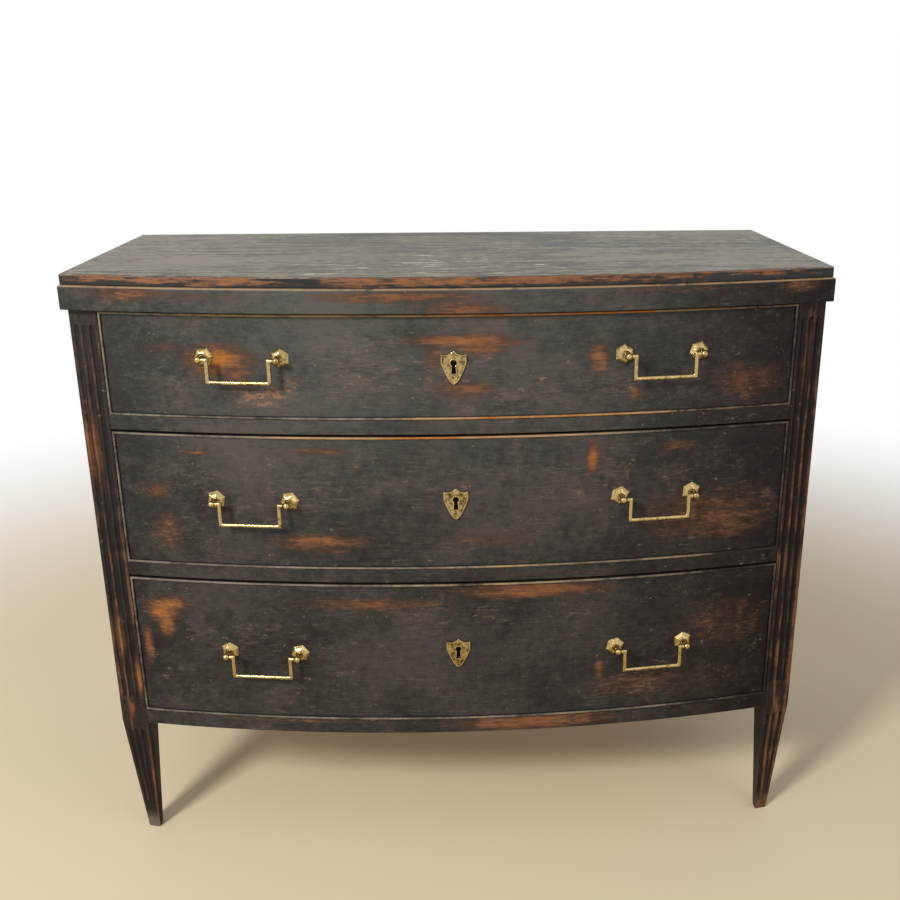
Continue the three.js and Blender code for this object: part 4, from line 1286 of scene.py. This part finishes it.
def top_finish(name, colours):
    """Grey paint of the top board, streaked along the grain, with pale scuffs in its middle.

    Below the rounded edge it is dark, with brown wood bare along the upper part of the front edge.
    """
    f = Finish(name)
    streak = f.noise((5, 60, 60), 6, 0.7, 0.5)
    fine = f.noise((22, 300, 300), 4, 0.62)
    cloud = f.noise((3.5, 7, 7), 4, 0.6)
    mottle = f.noise((60, 110, 110), 7, 0.75)
    scuff = f.noise((15, 85, 85), 6, 0.68, 0.6)
    dents = f.noise((40, 40, 190), 5, 0.66)
    grain = f.noise((16, 16, 420), 4, 0.6)
    tone = streak * 0.45 + fine * 0.2 + cloud * 0.45 + uneven((mottle, 0.7), (scuff, 0.6))
    tone = tone.step(0.44, 0.66)
    middle = 1 - abs(f.axis("X") + 0.05).step(0.05, 0.34)
    front = 1 - abs(f.axis("Y") + 0.14).step(0.06, 0.22)
    pale = scuff + middle * front * 0.09 + (mottle - 0.5) * 0.4
    pale = pale.step(0.67, 0.73).at_least(ring_mark(f, scuff))
    down = high("top_board").z - f.axis("Z") + (mottle - 0.5) * 0.001
    bare = f.field("edge") * 0.15 + f.field("rub") * 0.85 + uneven(
        (streak, 0.8), (mottle, 1.0), (grain, 1.4), (dents, 2.0))
    paint = f.coats(
        f.blend(tone, colours.top_dark, colours.top_grey),
        (middle * 0.85, f.blend(tone, colours.top_dark, colours.top_olive)),
        ((cloud + (scuff - 0.5) * 1.2).step(0.46, 0.66) * 0.45, colours.top_brown),
        (pale * 0.8, colours.top_pale),
        (down.step(0.0012, 0.0026), f.blend(cloud, colours.cool_dark_lit, colours.warm_dark_shaded)),
        (bare.step(0.3, 0.55) * 0.9, colours.wood_brown),
        (bare.step(0.5, 0.85) * 0.9, colours.wood_tan),
        (bare.step(0.9, 1.35) * 0.7, colours.wood_orange))
    rough = 0.5 + (mottle - 0.5) * 0.3
    height = streak * 0.5 + fine * 0.5 - bare.step(0.6, 0.9) * 0.4
    return f.finish(paint, rough, height, depth=0.0003, Specular_IOR_Level=2 * PAINT_SHEEN)


def ring_mark(f, ragged):
    """Thin broken ring on the top board: strongest at its radius from its place in plan."""
    flat = f.node("ShaderNodeVectorMath", {"operation": "MULTIPLY"}, {0: f.place, 1: (1, 1, 0)})
    away = f.node(
        "ShaderNodeVectorMath", {"operation": "DISTANCE"}, {0: flat, 1: (*RING_PLACE, 0)}, "Value")
    return (1 - abs(away - RING_RADIUS).step(0.0006, 0.0022)) * ragged.step(0.46, 0.54)


def bead_finish(name, colours):
    """Cockbeads: dark paint with a thin grey line on the nose, partly light wear and partly a painted
    highlight, tan and orange where rubbed most, dimmed and browned by painted shade towards the right.
    """
    f = Finish(name)
    streak = f.noise((12, 12, 12), 5, 0.65)
    fine = f.noise((90, 90, 90), 5, 0.65)
    rub = f.field("rub")
    ragged = uneven((streak, 1.6), (fine, 0.9))
    # Painted shade: the line dims and turns brown towards the right, away from the light
    right_shade = f.axis("X").step(0.2, 0.46) * 0.24
    line = f.field("edge") * (0.62 + ragged + rub * 0.5 - right_shade).step(0.2, 0.95)
    wood = f.coats(
        colours.edge_grey, ((rub + ragged * 0.5).step(0.1, 0.5), colours.edge_tan),
        (right_shade * 2, colours.wood_brown),
        ((rub * 0.9 + ragged * 0.9).step(0.55, 0.95), colours.wood_orange))
    paint = f.blend(line, colours.warm_dark_shaded, wood)
    return f.finish(paint, 0.45 + fine * 0.2, fine, depth=0.0002, Specular_IOR_Level=2 * PAINT_SHEEN)


def bare_wood(name, colours, along):
    """Unpainted softwood with grain along one axis, rough from the saw."""
    f = Finish(name, along)
    grain = f.noise(f.grain(3, 70), 5, 0.6, 0.6)
    fine = f.noise(f.grain(14, 500), 3, 0.6)
    wood = f.coats(
        colours.inner_wood, ((grain * 0.7 + fine * 0.3).step(0.35, 0.65), colours.inner_dark),
        (f.noise((4, 4, 4), 3).step(0.4, 0.75) * 0.35, colours.wood_brown))
    rough = 0.7 + (fine - 0.5) * 0.2
    return f.finish(wood, rough, grain * 0.5 + fine * 0.5, depth=0.0004, Specular_IOR_Level=0.3)


def aged_brass(name, colours):
    """Cast brass, gold where the edge field says it is rubbed, olive where it is low and in pits:
    patina, and also painted shade and dark reflection on the bails' undersides and backs and in the
    rosettes' hollows.
    """
    f = Finish(name)
    mottle = f.noise((150, 150, 150), 6, 0.72)
    fine = f.noise((620, 620, 620), 3, 0.6)
    pits = 1 - f.cells((420, 420, 420)).step(0.12, 0.36)
    dull = (0.7 - f.field("edge") * 0.62 + (mottle - 0.5) * 3.2 + pits * 0.15).step(0.1, 0.95)
    metal = f.blend(dull, colours.brass_gold, colours.brass_olive_and_shade)
    rough = 0.18 + dull * 0.25 + (fine - 0.5) * 0.12
    return f.finish(metal, rough, mottle * 0.5 + fine * 0.2 - pits * 0.4, depth=0.0003, Metallic=1.0)


def dull_iron(name, colours):
    """Forged iron of the locks, dark with a little rust."""
    f = Finish(name)
    mottle = f.noise((90, 90, 90), 5, 0.65)
    fine = f.noise((700, 700, 700), 3)
    rust = mottle.step(0.52, 0.7)
    metal = f.blend(rust * 0.6, colours.iron, colours.wood_brown)
    return f.finish(metal, 0.5 + rust * 0.25, mottle * 0.6 + fine * 0.4, depth=0.0002, Metallic=0.85)


# The function of each finish, and the axis of its grain where it takes one
FINISHES = {
    "paint_along": (worn_paint, "x"),
    "paint_upright": (worn_paint, "z"),
    "worn_top": (top_finish,),
    "rubbed_bead": (bead_finish,),
    "sawn_along": (bare_wood, "x"),
    "sawn_across": (bare_wood, "y"),
    "aged_brass": (aged_brass,),
    "forged_iron": (dull_iron,),
}


def shared(name, colours):
    """A finish that several operators use, made once."""
    make, *grain = FINISHES[name]
    return bpy.data.materials.get(name) or make(name, colours, *grain)


def settings(context):
    """The property groups of the scene, with the bow that the case sets."""
    scene = context.scene
    return (
        scene.commode_case, scene.commode_flutes, scene.commode_drawers, scene.commode_brass,
        scene.commode_colours, Bow(scene.commode_case))


def dress(nodes, material, edge=0.0008):
    """Gives nodes of the packed model a finish and takes the sharpness off their edges."""
    for node in nodes:
        shape = frame["nodes"][node]
        shape.data.materials.clear()
        shape.data.materials.append(material)
        shape.modifiers.new("join", "WELD").merge_threshold = edge / 100
        soft = shape.modifiers.new("soften", "BEVEL")
        soft.width = edge
        soft.segments = 2
        soft.limit_method = "ANGLE"
        soft.angle_limit = 40 * DEGREE
        soft.use_clamp_overlap = True


class COMMODE_OT_top(bpy.types.Operator):
    """Make the top board and the frieze under it"""

    bl_idname = "commode.top"
    bl_label = "Top and Frieze"

    def execute(self, context):
        case, _, drawers, _, colours, bow = settings(context)
        top_board(case, bow, shared("worn_top", colours))
        frieze(case, drawers, bow, shared("paint_along", colours))
        return {"FINISHED"}


class COMMODE_OT_case(bpy.types.Operator):
    """Make the fluted front posts and the bowed rails, and finish the rest of the case"""

    bl_idname = "commode.case"
    bl_label = "Case"

    def execute(self, context):
        case, flutes, drawers, _, colours, bow = settings(context)
        upright = shared("paint_upright", colours)
        for side in SIDES:
            front_post(side, case, flutes, bow, upright)
            dress(["rear_post_" + side, "side_panel_" + side], upright)
        for name in RAIL_SPOTS:
            rail(name, case, drawers, bow, shared("paint_along", colours))
        boards = ["back_panel", "bottom_board", "dust_board_upper", "dust_board_lower"]
        dress(boards, shared("sawn_along", colours))
        return {"FINISHED"}


class COMMODE_OT_drawers(bpy.types.Operator):
    """Make the drawer fronts and their cockbeads, and finish the drawers and locks"""

    bl_idname = "commode.drawers"
    bl_label = "Drawers"

    def execute(self, context):
        _, _, drawers, brass, colours, bow = settings(context)
        for drawer in DRAWERS:
            drawer_front(drawer, drawers, brass, bow, shared("paint_along", colours))
            cockbead(drawer, drawers, bow, shared("rubbed_bead", colours))
            dress([f"{drawer}_drawer_side_{side}" for side in SIDES], shared("sawn_across", colours))
            dress([drawer + "_drawer_back", drawer + "_drawer_bottom"], shared("sawn_along", colours))
            dress([drawer + "_lock_case", drawer + "_lock_bolt"], shared("forged_iron", colours))
        return {"FINISHED"}


class COMMODE_OT_brass(bpy.types.Operator):
    """Make the escutcheons and the handles with their rosettes"""

    bl_idname = "commode.brass"
    bl_label = "Handles and Escutcheons"

    def execute(self, context):
        _, _, drawers, brass, colours, bow = settings(context)
        metal = shared("aged_brass", colours)
        for drawer in DRAWERS:
            escutcheon(drawer, drawers, brass, metal)
            handles(drawer, drawers, brass, bow, metal)
        return {"FINISHED"}


def camera_axes(yaw, pitch, roll):
    """Right, up and backward directions of a camera that is turned, tilted down and rolled."""
    forward = np.array([
        math.sin(yaw) * math.cos(pitch), math.cos(yaw) * math.cos(pitch), -math.sin(pitch)])
    right = np.array([math.cos(yaw), -math.sin(yaw), 0])
    up = np.cross(right, forward)
    rolled = right * math.cos(roll) + up * math.sin(roll)
    return rolled, up * math.cos(roll) - right * math.sin(roll), -forward


def aimed_camera(stage):
    """Camera at the place, angle and lens of the stage's settings."""
    data = bpy.data.cameras.new("camera")
    data.sensor_width = SENSOR_WIDTH
    data.lens = stage.lens
    data.shift_x, data.shift_y = stage.shift
    placed = np.eye(4)
    placed[:3, :3] = np.stack(camera_axes(stage.yaw, stage.pitch, stage.roll), axis=-1)
    placed[:3, 3] = stage.eye
    camera = link("camera", data)
    camera.matrix_world = Matrix(placed.tolist())
    return camera


def plain_floor(colours):
    """Disc at the floor's height, in rings, that fades to the white background away from the chest."""
    angles = np.linspace(0, 2 * math.pi, 96, endpoint=False)
    reach = np.array(FLOOR_RINGS)[:, None]
    rings = places(reach * np.cos(angles), reach * np.sin(angles), 0)
    points, quads, caps = stacked_rings(rings)
    mesh = bpy.data.meshes.new("floor")
    mesh.from_pydata(points.tolist(), [], quads.tolist() + [caps[0][::-1]])
    f = Finish("floor")
    mesh.materials.append(f.material)
    grain = f.noise((6, 6, 6), 4)
    f.finish(
        colours.floor, 0.7 + (grain - 0.5) * 0.1, grain, depth=0.0002, Specular_IOR_Level=PAINT_SHEEN)
    away = f.node("ShaderNodeVectorMath", {"operation": "LENGTH"}, {0: f.place}, "Value")
    white = f.node("ShaderNodeEmission", {}, {"Color": WHITE})
    faded_and_sheen = f.mixed(away.step(*FLOOR_FADE) * f.sees_white(), Value(f, f.shader.outputs[0]), white)
    f.feed(f.nodes["Material Output"].inputs["Surface"], faded_and_sheen)
    return link("floor", mesh)


def area_lamp(name, place, size, power, tint):
    """Square soft lamp."""
    lamp = bpy.data.lights.new(name, "AREA")
    lamp.size = size
    lamp.energy = power
    lamp.color = tint
    holder = link(name, lamp)
    holder.location = place
    holder.rotation_euler = (Vector(place) - Vector(LAMP_TARGET)).to_track_quat("Z", "Y").to_euler()


def plain_world(strength):
    """Soft light from all round, with a white background for the camera, metal and glass."""
    world = bpy.data.worlds.new("studio")
    world.use_nodes = True
    tree = Tree(world.node_tree)
    light = tree.node("ShaderNodeBackground", {}, {"Color": WHITE, "Strength": strength})
    white = tree.node("ShaderNodeBackground", {}, {"Color": WHITE, "Strength": 1})
    shown = tree.mixed(tree.sees_white(), light, white)
    tree.feed(tree.nodes["World Output"].inputs["Surface"], shown)
    bpy.context.scene.world = world


class COMMODE_OT_stage(bpy.types.Operator):
    """Make the floor, the soft lamps, the white world and the camera"""

    bl_idname = "commode.stage"
    bl_label = "Stage"

    def execute(self, context):
        scene = context.scene
        stage = scene.commode_stage
        scene.camera = aimed_camera(stage)
        plain_floor(scene.commode_colours)
        for name, place, size, tint in LAMPS:
            area_lamp(name, place, size, getattr(stage, name + "_power"), tint)
        plain_world(stage.world_strength)
        scene.view_settings.view_transform = "Standard"
        return {"FINISHED"}


class COMMODE_PT_panel(bpy.types.Panel):
    """Sizes, colours and steps of the commode chest"""

    bl_label = "Commode Chest"
    bl_idname = "COMMODE_PT_panel"
    bl_space_type = "VIEW_3D"
    bl_region_type = "UI"
    bl_category = "Commode"

    def draw(self, context):
        layout = self.layout
        for operator in STEPS:
            layout.operator(operator.bl_idname)
        for key, group in GROUPS.items():
            box = layout.box()
            box.label(text=group.__doc__)
            for name in group.__annotations__:
                box.prop(getattr(context.scene, key), name)


GROUPS = {
    "commode_case": CommodeCase,
    "commode_flutes": CommodeFlutes,
    "commode_drawers": CommodeDrawers,
    "commode_brass": CommodeBrass,
    "commode_colours": CommodeColours,
    "commode_stage": CommodeStage,
}
STEPS = (COMMODE_OT_stage, COMMODE_OT_top, COMMODE_OT_case, COMMODE_OT_drawers, COMMODE_OT_brass)


def register():
    for group in GROUPS.values():
        bpy.utils.register_class(group)
    for key, group in GROUPS.items():
        setattr(bpy.types.Scene, key, PointerProperty(type=group))
    for operator in STEPS:
        bpy.utils.register_class(operator)
    bpy.utils.register_class(COMMODE_PT_panel)


def unregister():
    bpy.utils.unregister_class(COMMODE_PT_panel)
    for operator in reversed(STEPS):
        bpy.utils.unregister_class(operator)
    for key, group in GROUPS.items():
        delattr(bpy.types.Scene, key)
        bpy.utils.unregister_class(group)


def main():
    """Makes every piece in order."""
    register()
    bpy.ops.commode.stage()
    bpy.ops.commode.top()
    bpy.ops.commode.case()
    bpy.ops.commode.drawers()
    bpy.ops.commode.brass()


if __name__ == "__main__":
    main()
